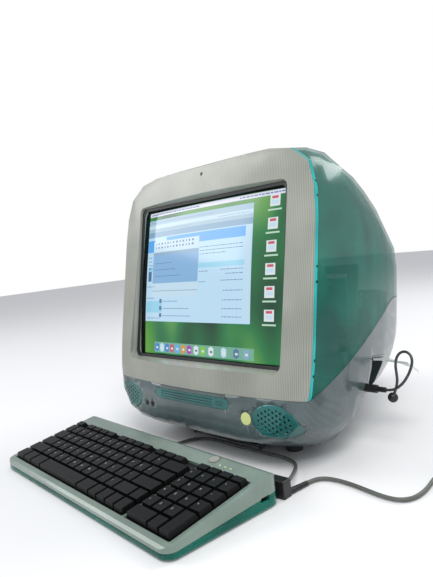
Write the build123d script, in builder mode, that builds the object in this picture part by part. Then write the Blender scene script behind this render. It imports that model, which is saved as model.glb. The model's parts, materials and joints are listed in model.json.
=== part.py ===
"""Vintage all-in-one home computer with its keyboard, leads and port door.

Everything is in millimetres. +X is to the right of someone sitting at the keyboard, +Y runs from the
keyboard to the back of the computer and +Z is up. The origin is on the table top, under the middle of
the whole set. The computer leans back on its own plane, "face", whose middle is the middle of the screen.
"""
from build123d import *
import os
from math import atan2, cos, degrees, pi, radians, sin, tan

os.makedirs("parts", exist_ok=True)

# ---------------------------------------------------------------- where things stand
computer_x = -9
computer_y = -72
screen_height = 238
face_lean = 11
keyboard_x = -204
keyboard_y = -285.5
keyboard_turn = -2.8

# ---------------------------------------------------------------- computer case
case_width = 390
case_depth = 412
case_top = 173
case_bottom = 219
case_wall = 3
seam_gap = 0.5
fit_gap = 0.4
chin_height = 152.5
chin_arch = 5
split_start = 4
split_rise = 118
split_run = 187
split_radius = 120
rim_width = 4.5
rim_notch = 3
rim_notch_spacing = 18

# ---------------------------------------------------------------- screen and picture tube
screen_width = 299
screen_height_open = 232
screen_corner = 8
reveal_slope = 0.34
reveal_depth = 20
reveal_wall = 3
mask_border = 4
mask_thickness = 2
mask_seat = 0.3
tube_front = 5
tube_glass = 11
tube_wall = 4
tube_face_depth = 28
tube_face_margin = 8
tube_face_radius = 2200
neck_radius = 14.5
neck_start = 214
neck_end = 300
band_width = 18
band_thickness = 1.6
lug_size = 16

# ---------------------------------------------------------------- inside frame and boards
seat_gap = 0.3
shelf_height = -(screen_height_open / 2 + tube_face_margin + fit_gap / 2 + band_thickness + seat_gap)
shelf_thickness = 2
shelf_half_width = 128
frame_leg_radius = 6
board_thickness = 1.6
board_half_width = 100
board_front = 40
board_back = 200
board_drop = 12
power_board_x = -118
power_board_front = 126
power_board_back = 236
power_board_rise = 130
disk_width = 147
disk_length = 101
disk_height = 25
disk_front = 150
fan_size = 80
fan_depth = 25
fan_x = 82
fan_u = -40
fan_front = 262
fan_blades = 7
fan_hub_radius = 17

# ---------------------------------------------------------------- disc drive
strip_length = 149
strip_height = 13.5
strip_height_above_face = -164.5
drive_width = 146
drive_height = 30
drive_depth = 172
tray_width = 128
tray_length = 136
tray_thickness = 6
disc_radius = 60.5
eject_x = 58
eject_length = 11
eject_height = 3.4
eject_travel = 1.2

# ---------------------------------------------------------------- chin details
speaker_x = 144
speaker_u = -176
speaker_width = 62
speaker_height = 40
speaker_rim = 2.5
power_button_x = 103
power_button_u = -178
power_button_radius = 8
jack_x = -92
jack_pitch = 14
jack_u = -183
jack_radius = 4.5
jack_bore = 1.8
jack_depth = 14
microphone_u = 147.5
microphone_radius = 2.2

# ---------------------------------------------------------------- handle, ports and feet
handle_length = 140
handle_width = 62
handle_n = 142
handle_floor = 96
handle_bar_width = 22
handle_bar_height = 13
handle_bar_u = 138
port_front = 139
port_back = 191
port_top = -100
port_bottom = -145
port_floor_x = 142
port_wall = 2.5
door_thickness = 2.5
door_open_angle = 96
door_hole = 8
door_hinge_stand = 0.3
foot_x = 105
foot_front_y = 38
foot_rear_y = 222
foot_radius = 12
flap_width = 130
flap_length = 52
flap_n = 56
inlet_width = 29
inlet_height = 21
inlet_u = -100
inlet_depth = 24

# ---------------------------------------------------------------- keyboard
key_pitch = 19.05
key_gap = 1.1
key_taper = 12
key_height = 6.5
key_rest = 3.5
stem_radius = 3
stem_clearance = 0.3
stem_reach = 2.2
function_row_depth = 12
keypad_start = 292
key_rows = 5
deck_tilt = 9
deck_height = 11
deck_thickness = 2.5
well_margin = 1.5
frame_side = 10
frame_front = 12
frame_back = 33
keyboard_corner = 14
keyboard_wall = 2.5
keyboard_floor = 2
keyboard_front_height = 13.5
keyboard_back_height = 19
band_drop_start = 14
keyboard_split_front = 7
keyboard_split_back = 16
power_key_radius = 6.5
light_radius = 1.2
prop_length = 300
prop_width = 18
prop_thickness = 5

# ---------------------------------------------------------------- leads
lead_radius = 2.25
gland_radius = 4.2
gland_length = 8
short_lead_radius = 1.7
lead_plug_radius = 5.3
lead_plug_gap = 0.3
lead_plug_start = 178
lead_depth = 128.5
lead_height = -139
block_length = 42
block_width = 14
block_height = 20

# ================================================================ shared planes and helpers
lean = radians(face_lean)
middle_of_screen = Vector(computer_x, computer_y, screen_height)
# "face" looks out of the screen; its x is +X and its y runs up the leaning face
face = Plane(origin=middle_of_screen, x_dir=(1, 0, 0), z_dir=(0, -cos(lean), sin(lean)))
# "side" has x running back into the case, y up the face and looks towards +X
side = Plane(origin=middle_of_screen, x_dir=(0, cos(lean), -sin(lean)), z_dir=(1, 0, 0))
# "plan" has x to the right, y running back into the case and looks up the face
plan = Plane(origin=middle_of_screen, x_dir=(1, 0, 0), z_dir=(0, sin(lean), cos(lean)))


def depth_plane(depth):
    """The plane parallel to the face, this far behind it."""
    return face.offset(-depth)


def on_face(x, height, depth=0.0):
    """The point at x across, height up the face and depth behind it, in the part's own frame."""
    return face.from_local_coords(Vector(x, height, -depth))


def save(name, solid):
    """Label a finished piece and write it under its node's name."""
    solid.label = name
    print(name, "volume", round(solid.volume))
    export_step(solid, f"parts/{name}.step")


# ================================================================ form of the case
# Each station: share of the depth, side inset, drop of the top, rise of the bottom, height of the
# widest level, squareness of the upper and of the lower corners.
case_stations = [
    (-0.062, 52, 38, 36, -12, 4.4, 4.4),
    (-0.034, 27, 20, 20, -15, 5.0, 5.0),
    (-0.015, 11, 12, 11, -18, 5.6, 5.2),
    (0.0, 3, 9.5, 9, -20, 6.2, 5.2),
    (0.06, 0.5, 4, 4, -20, 6.6, 5.6),
    (0.146, 0, 0, 0, -20, 6.2, 6.2),
    (0.23, 2, 5.5, 2, -22, 5.7, 6.0),
    (0.316, 6, 18, 12, -26, 5.4, 4.6),
    (0.437, 14, 45, 24, -33, 6.0, 3.0),
    (0.583, 31, 79, 34, -42, 6.2, 2.4),
    (0.704, 57, 113, 49, -52, 5.8, 2.1),
    (0.813, 88, 152, 67, -63, 4.6, 2.0),
    (0.91, 118, 189, 85, -75, 3.2, 2.0),
    (0.97, 144, 219, 101, -84, 2.3, 2.0),
    (1.0, 173, 246, 117, -88, 2.0, 2.0),
]
quarter_points = 11


def outline_points(station, inset, quarter):
    """Points along one quarter of a cross-section, anticlockwise from its right."""
    share, side_inset, top_drop, bottom_rise, middle, top_power, bottom_power = station
    half_width = case_width / 2 - side_inset - inset
    if quarter < 2:
        rise, power = case_top - top_drop - inset - middle, top_power
    else:
        rise, power = middle - bottom_rise + case_bottom - inset, bottom_power
    points = []
    for step in range(quarter_points + 1):
        angle = pi / 2 * (quarter + step / quarter_points)
        reach = (abs(cos(angle) / half_width) ** power + abs(sin(angle) / rise) ** power) ** (-1 / power)
        points.append((reach * cos(angle), middle + reach * sin(angle)))
    return points


def case_section(station, inset):
    """One closed cross-section of the case, parallel to the face, in short straight sides."""
    points = [point for quarter in range(4) for point in outline_points(station, inset, quarter)[:-1]]
    with BuildSketch(depth_plane(station[0] * (case_depth - inset))) as section:
        with BuildLine():
            Polyline(*points, close=True)
        make_face()
    return section.sketch


def side_reach(height, depth):
    """How far the case's side stands from the middle, below its widest level."""
    here = max(i for i in range(len(case_stations) - 1) if case_stations[i][0] * case_depth <= depth)
    start, end = case_stations[here][0], case_stations[here + 1][0]
    share = (depth / case_depth - start) / (end - start)
    reaches = []
    for station in case_stations[here:here + 2]:
        rise = station[4] - station[3] + case_bottom
        fall = abs((station[4] - height) / rise) ** station[6]
        reaches.append((case_width / 2 - station[1]) * (1 - fall) ** (1 / station[6]))
    return reaches[0] + share * (reaches[1] - reaches[0])


# Heights up the face and how far the middle of the face stands forward of the seam there
face_bulges = [(-250, 0), (-215, 10), (-175, 17), (-140, 18.5), (-60, 15.5), (30, 12), (116, 10.5),
               (147, 10), (168, 6), (200, -6)]
face_edge_drop = 12


def dome_section(height, bulge):
    """Plan outline of the case at one height: a shallow arc in front, square behind."""
    half = case_width / 2 + 8
    back = case_depth + 20
    with BuildSketch(plan.offset(height)) as section:
        with BuildLine():
            ThreePointArc((-half, face_edge_drop - bulge), (0, -bulge), (half, face_edge_drop - bulge))
            Polyline((half, face_edge_drop - bulge), (half, back), (-half, back), (-half, face_edge_drop - bulge))
        make_face()
    return section.sketch


def face_dome(inset):
    """A block whose front is the gently bulging face of the case."""
    with BuildPart() as dome:
        loft([dome_section(height, bulge - inset) for height, bulge in face_bulges])
    return dome.part


def case_form(inset):
    """The whole case as a solid, drawn in by inset all round."""
    with BuildPart() as form:
        loft([case_section(station, inset) for station in case_stations], ruled=True)
        add(face_dome(inset), mode=Mode.INTERSECT)
    return form.part


outer_form = case_form(0)
inner_form = case_form(case_wall)
with BuildPart() as case_skin:
    add(outer_form)
    add(inner_form, mode=Mode.SUBTRACT)


def inside_case(solid):
    """The part of a solid that lies within the case's outside."""
    with BuildPart() as trimmed:
        add(solid)
        add(outer_form, mode=Mode.INTERSECT)
    return trimmed.part


# ================================================================ where the case is divided
beyond = case_width
split_angle = degrees(atan2(split_rise, split_run))


def split_region(lift, upper, near):
    """Side outline above or below the line that divides the coloured shell from the lower case."""
    far = case_depth + 20
    end = beyond if upper else -beyond
    bend_start = (seam_gap + split_run, -chin_height + split_start + lift + split_rise)
    near_height = bend_start[1] - (bend_start[0] - near) * split_rise / split_run
    with BuildSketch(side) as region:
        with BuildLine():
            slope = Line((near, near_height), bend_start)
            bend = JernArc(start=slope @ 1, tangent=slope % 1, radius=split_radius, arc_size=-split_angle)
            Polyline(bend @ 1, (far, (bend @ 1).Y), (far, end), (near, end), slope @ 0)
        make_face()
    return region.sketch


def face_region(height, end, depth):
    """Face outline between an arched line across the chin and the far edge given by end."""
    with BuildSketch(depth_plane(depth)) as region:
        with BuildLine():
            ThreePointArc((-beyond, height + 4 * chin_arch), (0, height), (beyond, height + 4 * chin_arch))
            Polyline((beyond, height + 4 * chin_arch), (beyond, end), (-beyond, end), (-beyond, height + 4 * chin_arch))
        make_face()
    return region.sketch


with BuildPart() as bezel_zone:
    extrude(face_region(-chin_height, beyond, 0), amount=60, dir=face.z_dir)

with BuildPart() as chin_zone:
    extrude(face_region(-chin_height - seam_gap, -beyond, seam_gap), amount=60, dir=face.z_dir)

with BuildPart() as lower_zone:
    extrude(split_region(-seam_gap, False, seam_gap), amount=beyond, both=True)
    add(chin_zone.part)

with BuildPart() as rim_zone:
    extrude(split_region(seam_gap, True, seam_gap), amount=beyond, both=True)

shell_front = 2 * seam_gap + rim_width
with BuildPart() as upper_zone:
    extrude(split_region(seam_gap, True, shell_front), amount=beyond, both=True)


def prism(sketch, depth_from, depth_to):
    """A face-plane sketch pushed straight back between two depths."""
    with BuildPart() as body:
        extrude(sketch.moved(Location(face.z_dir * -depth_from)), amount=depth_to - depth_from, dir=-face.z_dir)
    return body.part


def face_rectangle(x, height, width, tall, corner=0.0):
    """A rectangle on the face plane, its corners rounded when a radius is given."""
    with BuildSketch(face) as outline:
        with Locations((x, height)):
            if corner > 0:
                RectangleRounded(width, tall, corner)
            else:
                Rectangle(width, tall)
    return outline.sketch


def face_ellipse(x, height, width, tall):
    """An ellipse on the face plane."""
    with BuildSketch(face) as outline:
        with Locations((x, height)):
            Ellipse(width / 2, tall / 2)
    return outline.sketch


def face_circles(points, radius):
    """Circles on the face plane, one at each (x, height)."""
    with BuildSketch(face) as outline:
        with Locations(*points):
            Circle(radius)
    return outline.sketch


def face_block(x_range, height_range, depth_range):
    """A block with its sides along the face's own directions, given by its ranges."""
    (x0, x1), (h0, h1), (d0, d1) = x_range, height_range, depth_range
    return prism(face_rectangle((x0 + x1) / 2, (h0 + h1) / 2, x1 - x0, h1 - h0), d0, d1)


def plan_rectangle(height, x, depth, width, long, corner):
    """A rounded rectangle seen from above, at one height up the face."""
    with BuildSketch(plan.offset(height)) as outline:
        with Locations((x, depth)):
            RectangleRounded(width, long, corner)
    return outline.sketch


front = -40
half_screen = screen_width / 2
half_tall = screen_height_open / 2

# ================================================================ front bezel
lug_x = half_screen + 16.5
lug_height = half_tall + 16
lug_points = [(x, height) for x in (-lug_x, lug_x) for height in (-lug_height, lug_height)]
lug_depth = tube_front + 10

lug_boss_radius = 5
reveal_reach = 60
reveal_overrun = 1

with BuildPart() as reveal_block:
    block_grow = reveal_slope * reveal_depth + reveal_wall
    add(prism(face_rectangle(0, 0, screen_width + 2 * block_grow, screen_height_open + 2 * block_grow,
                             screen_corner + block_grow - reveal_wall), front, 0))
    add(prism(face_circles(lug_points, lug_boss_radius), front, lug_depth - fit_gap))
    add(outer_form, mode=Mode.INTERSECT)

with BuildPart() as reveal_cut:
    rear_outline = face_rectangle(0, 0, screen_width, screen_height_open, screen_corner)
    flare = reveal_slope * reveal_reach
    front_outline = face_rectangle(0, 0, screen_width + 2 * flare, screen_height_open + 2 * flare,
                                   screen_corner + flare)
    loft([rear_outline.moved(Location(face.z_dir * -reveal_overrun)),
          front_outline.moved(Location(face.z_dir * reveal_reach))])

with BuildPart() as front_bezel:
    add(case_skin.part)
    add(bezel_zone.part, mode=Mode.INTERSECT)
    add(reveal_block.part)
    add(reveal_cut.part, mode=Mode.SUBTRACT)
    add(prism(face_circles([(0, microphone_u)], microphone_radius + fit_gap), front, 2), mode=Mode.SUBTRACT)
save("front_bezel", front_bezel.part)

with BuildPart() as microphone:
    add(prism(face_circles([(0, microphone_u)], microphone_radius), front, -2))
    add(outer_form, mode=Mode.INTERSECT)
save("microphone", microphone.part)

# ================================================================ coloured shell, light rim and handle
rim_notch_heights = (101, -1, -110)

with BuildPart() as light_rim:
    add(case_skin.part)
    add(rim_zone.part, mode=Mode.INTERSECT)
    add(face_block((-beyond, beyond), (-beyond, beyond), (seam_gap + rim_width, 2 * case_depth)), mode=Mode.SUBTRACT)
    for height in rim_notch_heights:
        for end in (-rim_notch_spacing / 2, rim_notch_spacing / 2):
            middle = height + end
            notch = (middle - rim_notch / 2, middle + rim_notch / 2)
            add(face_block((-beyond, beyond), notch, (seam_gap + rim_width / 2, rim_width * 2)), mode=Mode.SUBTRACT)
save("light_rim", light_rim.part)

handle_cut_bottom = handle_floor + case_wall
with BuildPart() as handle_recess:
    extrude(plan_rectangle(handle_floor, 0, handle_n, handle_length, handle_width, 20), amount=beyond / 2)
    pocket = plan_rectangle(handle_cut_bottom, 0, handle_n, handle_length - 2 * case_wall,
                            handle_width - 2 * case_wall, 20 - case_wall)
    extrude(pocket, amount=beyond / 2, mode=Mode.SUBTRACT)
    add(outer_form, mode=Mode.INTERSECT)
save("handle_recess", handle_recess.part)

with BuildPart() as carry_handle:
    with BuildSketch(side) as grip:
        with Locations((handle_n, handle_bar_u)):
            RectangleRounded(handle_bar_width, handle_bar_height, handle_bar_height / 2 - 0.5)
    extrude(amount=handle_length / 2 - case_wall - 0.1, both=True)
save("carry_handle", carry_handle.part)

vent_pitch = 9
vent_length = 26
vent_width = 3
vent_count = 6
vent_n = handle_n + handle_width / 2 + 24

with BuildPart() as upper_shell:
    add(case_skin.part)
    add(upper_zone.part, mode=Mode.INTERSECT)
    opening = plan_rectangle(handle_floor, 0, handle_n, handle_length + 2 * fit_gap, handle_width + 2 * fit_gap,
                             20 + fit_gap)
    extrude(opening, amount=beyond / 2, mode=Mode.SUBTRACT)
    with BuildSketch(plan.offset(0)) as vents:
        with Locations((0, vent_n)):
            with GridLocations(vent_pitch, 0, 2 * vent_count + 1, 1):
                SlotOverall(vent_length, vent_width, rotation=90)
    extrude(amount=beyond / 2, mode=Mode.SUBTRACT)
save("upper_shell", upper_shell.part)

# ================================================================ lower case
speaker_points = [(-speaker_x, speaker_u), (speaker_x, speaker_u)]
jack_points = [(jack_x - jack_pitch / 2, jack_u), (jack_x + jack_pitch / 2, jack_u)]
drive_bottom = strip_height_above_face - drive_height / 2
floor_rib_x = 52
rib_thickness = 3
post_points = [(-110, 62), (110, 62), (-112, 195), (112, 195)]
foot_points = [(foot_x, foot_front_y), (-foot_x, foot_front_y), (foot_x / 2, foot_rear_y), (-foot_x / 2, foot_rear_y)]
flap_axis_y = computer_y + flap_n * cos(lean) - case_bottom * sin(lean)
flap_axis_z = 4.2
flap_pin = 1.5
flap_ear = 4
foot_stock = 48


def floor_plane(height=0.0):
    """A level plane at this height over the table, centred under the screen."""
    return Plane(origin=(computer_x, computer_y, height), x_dir=(1, 0, 0), z_dir=(0, 0, 1))


def strip_outline(grow):
    """The disc drive's rounded strip on the face, grown all round."""
    with BuildSketch(face) as outline:
        with Locations((0, strip_height_above_face)):
            SlotOverall(strip_length + 2 * grow, strip_height + 2 * grow)
    return outline.sketch


port_block = ((port_floor_x, beyond), (port_bottom, port_top), (port_front, port_back))


def grown(block, amount):
    """A block's ranges grown outwards all round."""
    return tuple((low - amount, high + amount) for low, high in block)


with BuildPart() as port_recess:
    add(face_block(*grown(port_block, port_wall)))
    add(face_block(*port_block), mode=Mode.SUBTRACT)
    add(outer_form, mode=Mode.INTERSECT)
save("port_recess", port_recess.part)

inlet_block = ((-inlet_width / 2, inlet_width / 2), (inlet_u - inlet_height / 2, inlet_u + inlet_height / 2),
               (case_depth - inlet_depth, case_depth + 20))

with BuildPart() as lower_case:
    add(case_skin.part)
    add(lower_zone.part, mode=Mode.INTERSECT)
    for x in (-floor_rib_x, floor_rib_x):
        rib = face_block((x - rib_thickness / 2, x + rib_thickness / 2), (-beyond, drive_bottom - seat_gap), (10, 150))
        add(inside_case(rib))
    for x, depth in post_points:
        with BuildSketch(plan.offset(-beyond)) as post:
            with Locations((x, depth)):
                Circle(frame_leg_radius)
        length = beyond + shelf_height - shelf_thickness - 0.1
        add(inside_case(extrude(post.sketch, amount=length, mode=Mode.PRIVATE)))
    add(prism(strip_outline(fit_gap), front, 0), mode=Mode.SUBTRACT)
    for x, height in speaker_points:
        hole = face_ellipse(x, height, speaker_width + 2 * fit_gap, speaker_height + 2 * fit_gap)
        add(prism(hole, front, 45), mode=Mode.SUBTRACT)
    button_hole = face_circles([(power_button_x, power_button_u)], power_button_radius + fit_gap)
    add(prism(button_hole, front, 2), mode=Mode.SUBTRACT)
    add(prism(face_circles(jack_points, jack_radius + 0.2), front, 6), mode=Mode.SUBTRACT)
    add(face_block(*grown(port_block, port_wall + fit_gap)), mode=Mode.SUBTRACT)
    add(face_block(*grown(inlet_block, fit_gap)), mode=Mode.SUBTRACT)
    with BuildSketch(side.offset(lead_plug_start)):
        with Locations((lead_depth, lead_height)):
            Circle(lead_plug_radius + lead_plug_gap)
    extrude(amount=40, mode=Mode.SUBTRACT)
    for sign in (-1, 1):
        ear_plane = Plane(origin=(computer_x + sign * (flap_width / 2 + flap_ear / 2 + fit_gap), 0, 0),
                          x_dir=(0, 1, 0), z_dir=(1, 0, 0))
        with BuildSketch(ear_plane) as ear:
            with BuildLine():
                Polyline((flap_axis_y - 3, flap_axis_z - 2.4), (flap_axis_y + 3, flap_axis_z - 2.4),
                         (flap_axis_y + 5, 20), (flap_axis_y - 5, 20), close=True)
            make_face()
            with Locations((flap_axis_y, flap_axis_z)):
                Circle(flap_pin + 0.2, mode=Mode.SUBTRACT)
        ear_solid = extrude(ear.sketch, amount=flap_ear / 2, both=True, mode=Mode.PRIVATE)
        add(ear_solid - inner_form)
save("lower_case", lower_case.part)

with BuildPart() as front_foot:
    with BuildSketch(Plane(origin=(computer_x, 0, 0), x_dir=(0, 1, 0), z_dir=(1, 0, 0))) as flap:
        with Locations((flap_axis_y + flap_length / 2 - flap_pin, flap_axis_z)):
            RectangleRounded(flap_length, 2 * flap_pin + 0.6, flap_pin)
    extrude(amount=flap_width / 2, both=True)
    with BuildSketch(Plane(origin=(computer_x, 0, 0), x_dir=(0, 1, 0), z_dir=(1, 0, 0))) as pin:
        with Locations((flap_axis_y, flap_axis_z)):
            Circle(flap_pin)
    extrude(amount=flap_width / 2 + fit_gap + flap_ear, both=True)
save("front_foot", front_foot.part)

with BuildPart() as case_feet:
    with Locations(*[(computer_x + x, computer_y + y, 0) for x, y in foot_points]):
        Cone(foot_radius - 1, foot_radius + 1.5, foot_stock, align=(Align.CENTER, Align.CENTER, Align.MIN))
    add(outer_form, mode=Mode.SUBTRACT)
save("case_feet", case_feet.part)

# ================================================================ disc drive and its tray
strip_back = -13
drive_front = -12
tray_bottom = strip_height_above_face - tray_thickness / 2
ledge_top = tray_bottom - 0.3

with BuildPart() as cd_drive:
    drive_block = ((-drive_width / 2, drive_width / 2), (drive_bottom, drive_bottom + drive_height),
                   (drive_front, drive_depth + drive_front))
    add(face_block(*drive_block))
    hollow = ((-drive_width / 2 + 2, drive_width / 2 - 2), (drive_bottom + 2, drive_bottom + drive_height - 2),
              (drive_front - 1, drive_depth + drive_front - 2))
    add(face_block(*hollow), mode=Mode.SUBTRACT)
    for sign in (-1, 1):
        inner, outer = sorted((sign * (tray_width / 2 - 8), sign * (drive_width / 2 - 1)))
        add(face_block((inner, outer), (drive_bottom + 1, ledge_top), (drive_front, tray_length - 2)))
    add(prism(face_circles([(0, strip_height_above_face)], 13), tray_length - 62, drive_depth - 20),
        mode=Mode.SUBTRACT)
save("cd_drive", cd_drive.part)

with BuildPart() as cd_tray:
    add(face_block((-tray_width / 2, tray_width / 2), (tray_bottom, tray_bottom + tray_thickness),
                   (strip_back, strip_back + tray_length)))
    disc_plane = plan.offset(tray_bottom + tray_thickness)
    with BuildSketch(disc_plane) as disc_well:
        with Locations((0, strip_back + tray_length / 2)):
            Circle(disc_radius)
    extrude(amount=-2.5, mode=Mode.SUBTRACT)
    with BuildSketch(disc_plane) as spindle_slot:
        with Locations((0, strip_back + tray_length / 2 + 25)):
            SlotOverall(88, 36, rotation=90)
    extrude(amount=-tray_thickness, mode=Mode.SUBTRACT)
save("cd_tray", cd_tray.part)

groove_pitch = 3.6
groove_width = 1.4
groove_length = 108
groove_x = -8

with BuildPart() as tray_front:
    add(prism(strip_outline(0), front, strip_back - 0.05))
    add(outer_form, mode=Mode.INTERSECT)
    with BuildSketch(face) as grooves:
        with Locations((groove_x, strip_height_above_face)):
            with GridLocations(0, groove_pitch, 1, 3):
                SlotOverall(groove_length, groove_width)
    add(prism(grooves.sketch, front, -15.6), mode=Mode.SUBTRACT)
    with BuildSketch(face) as eject_hole:
        with Locations((eject_x, strip_height_above_face)):
            SlotOverall(eject_length + 2 * fit_gap, eject_height + 2 * fit_gap)
    add(prism(eject_hole.sketch, front, strip_back + 1), mode=Mode.SUBTRACT)
save("tray_front", tray_front.part)

with BuildPart() as eject_button:
    with BuildSketch(face) as eject_outline:
        with Locations((eject_x, strip_height_above_face)):
            SlotOverall(eject_length, eject_height)
    add(prism(eject_outline.sketch, front, strip_back - eject_travel - 0.3))
    add(outer_form, mode=Mode.INTERSECT)
save("eject_button", eject_button.part)

# ================================================================ chin pieces
speaker_seat = 13
tube_thickness = 2
hole_pitch = 6.2
hole_radius = 1.5
hole_margin = 3


def speaker_tube(x, inside):
    """The short oval tube behind a speaker cover."""
    with BuildPart() as tube:
        add(prism(face_ellipse(x, speaker_u, *inside), front, speaker_seat))
        add(prism(face_ellipse(x, speaker_u, inside[0] - 2 * tube_thickness, inside[1] - 2 * tube_thickness), front,
                  speaker_seat), mode=Mode.SUBTRACT)
        add(outer_form, mode=Mode.INTERSECT)
    return tube.part


def speaker_grille(x):
    """A pierced cover that follows the chin, with a short tube behind it for the driver."""
    inside = (speaker_width - 2 * speaker_rim, speaker_height - 2 * speaker_rim)
    with BuildPart() as cover:
        add(case_skin.part)
        add(prism(face_ellipse(x, speaker_u, speaker_width, speaker_height), front, 44), mode=Mode.INTERSECT)
        with BuildSketch(face) as holes:
            with Locations((x, speaker_u)):
                with HexLocations(hole_pitch / 2, 9, 7):
                    Circle(hole_radius)
            with Locations((x, speaker_u)):
                Ellipse(inside[0] / 2 - hole_margin, inside[1] / 2 - hole_margin, mode=Mode.INTERSECT)
        add(prism(holes.sketch, front, 44), mode=Mode.SUBTRACT)
        add(speaker_tube(x, inside))
    return cover.part


def speaker_driver(x):
    """Oval basket and round magnet, seated on the tube of its grille."""
    with BuildPart() as driver:
        flange = face_ellipse(x, speaker_u, speaker_width - 2 * speaker_rim, speaker_height - 2 * speaker_rim)
        add(prism(flange, speaker_seat + 0.1, speaker_seat + 2))
        wide = face_ellipse(x, speaker_u, speaker_width - 12, speaker_height - 8)
        narrow = face_ellipse(x, speaker_u, 30, 28)
        loft([wide.moved(Location(face.z_dir * -(speaker_seat + 2))),
              narrow.moved(Location(face.z_dir * -(speaker_seat + 12)))])
        add(prism(face_circles([(x, speaker_u)], 16), speaker_seat + 12, speaker_seat + 22))
        add(inner_form, mode=Mode.INTERSECT)
    return driver.part


save("speaker_grille_left", speaker_grille(-speaker_x))
save("speaker_grille_right", speaker_grille(speaker_x))
save("speaker_left", speaker_driver(-speaker_x))
save("speaker_right", speaker_driver(speaker_x))

with BuildPart() as power_button:
    add(prism(face_circles([(power_button_x, power_button_u)], power_button_radius), front, -8))
    add(outer_form, mode=Mode.INTERSECT)
    add(prism(face_circles([(power_button_x, power_button_u)], 3), -8, 0))
save("power_button", power_button.part)

with BuildPart() as headphone_jacks:
    add(prism(face_circles(jack_points, jack_radius), front, 4))
    add(outer_form, mode=Mode.INTERSECT)
    add(prism(face_circles(jack_points, jack_bore), front, jack_depth - 14), mode=Mode.SUBTRACT)
save("headphone_jacks", headphone_jacks.part)

# ================================================================ picture tube
tube_half_x = half_screen + tube_face_margin
tube_half_y = half_tall + tube_face_margin


def tube_section(half_x, half_y, corner, depth):
    """A rounded rectangle across the tube at one depth."""
    with BuildSketch(depth_plane(depth)) as section:
        RectangleRounded(2 * half_x, 2 * half_y, corner)
    return section.sketch


def tube_form(inset, first_depth, neck_stop):
    """The tube's funnel and neck as one solid, drawn in by inset."""
    face_back = tube_front + tube_face_depth
    stations = [(tube_half_x, tube_half_y, 22, first_depth), (tube_half_x, tube_half_y, 22, face_back),
                (tube_half_x - 14, tube_half_y - 12, 30, face_back + 30), (96, 76, 48, 130), (48, 42, 38, 184),
                (neck_radius + 4, neck_radius + 4, neck_radius + 3.5, neck_start)]
    with BuildPart() as form:
        sections = [tube_section(x - inset, y - inset, corner - inset, depth)
                    for x, y, corner, depth in stations]
        loft(sections[:2])
        loft(sections[1:], ruled=True)
        with BuildSketch(depth_plane(neck_start - 1)):
            Circle(neck_radius - inset * 0.6)
        extrude(amount=neck_stop - neck_start + 1, dir=-face.z_dir)
    return form.part


with BuildPart() as crt_tube:
    add(tube_form(0, tube_front, neck_end))
    with Locations(on_face(0, 0, tube_front + tube_face_radius)):
        Sphere(tube_face_radius, mode=Mode.INTERSECT)
    add(tube_form(tube_wall, tube_front + tube_glass, neck_end - 3), mode=Mode.SUBTRACT)
save("crt_tube", crt_tube.part)

with BuildPart() as screen_mask:
    add(prism(face_rectangle(0, 0, screen_width + 4, screen_height_open + 4, screen_corner), mask_seat,
              mask_seat + mask_thickness))
    add(prism(face_rectangle(0, 0, screen_width - 2 * mask_border, screen_height_open - 2 * mask_border,
                             screen_corner), 0, 10), mode=Mode.SUBTRACT)
save("screen_mask", screen_mask.part)

with BuildPart() as crt_band:
    band_start = lug_depth
    band_outer = tube_section(tube_half_x + fit_gap / 2 + band_thickness, tube_half_y + fit_gap / 2 + band_thickness,
                              23, band_start)
    extrude(band_outer, amount=band_width, dir=-face.z_dir)
    for x, height in lug_points:
        add(prism(face_rectangle(x, height, lug_size, lug_size, 3), lug_depth, lug_depth + 2))
    bore = tube_section(tube_half_x + fit_gap / 2, tube_half_y + fit_gap / 2, 22, band_start - 1)
    extrude(bore, amount=band_width + 2, dir=-face.z_dir, mode=Mode.SUBTRACT)
save("crt_band", crt_band.part)

# ================================================================ tube fittings
with BuildPart() as deflection_yoke:
    with BuildSketch(side) as winding:
        with BuildLine():
            Polyline((182, 50), (182, 62), (190, 64), (222, 56), (238, 34), (238, neck_radius + 1),
                     (222, neck_radius + 1), (204, 34), (186, 50), close=True)
        make_face()
    revolve(axis=Axis(on_face(0, 0), -face.z_dir))
    yoke_bore = tube_form(-0.8, tube_front, neck_end)
    add(yoke_bore, mode=Mode.SUBTRACT)
save("deflection_yoke", deflection_yoke.part)

neck_board_depth = neck_end + 6
with BuildPart() as neck_board:
    add(prism(face_rectangle(0, -6, 66, 62, 3), neck_board_depth, neck_board_depth + board_thickness))
    add(prism(face_circles([(0, 0)], neck_radius + 4), neck_end - 6, neck_board_depth))
    add(prism(face_circles([(0, 0)], neck_radius + 0.3), neck_end - 8, neck_end + 1), mode=Mode.SUBTRACT)
    add(prism(face_rectangle(20, -24, 14, 12), neck_board_depth + board_thickness, neck_board_depth + 10))
save("neck_board", neck_board.part)

# ================================================================ inner frame and boards
shelf_front = tube_front + 4
shelf_back = 288
shelf_back_half = 64
shelf_bend = 205
flange_height = 13
flange_front = 60
standoff_points = [(-78, 60), (78, 60), (-78, 180), (78, 180)]
disk_back = disk_front + disk_length
fan_foot_x = fan_x - 24
fan_bottom = fan_u - fan_size / 2

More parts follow.
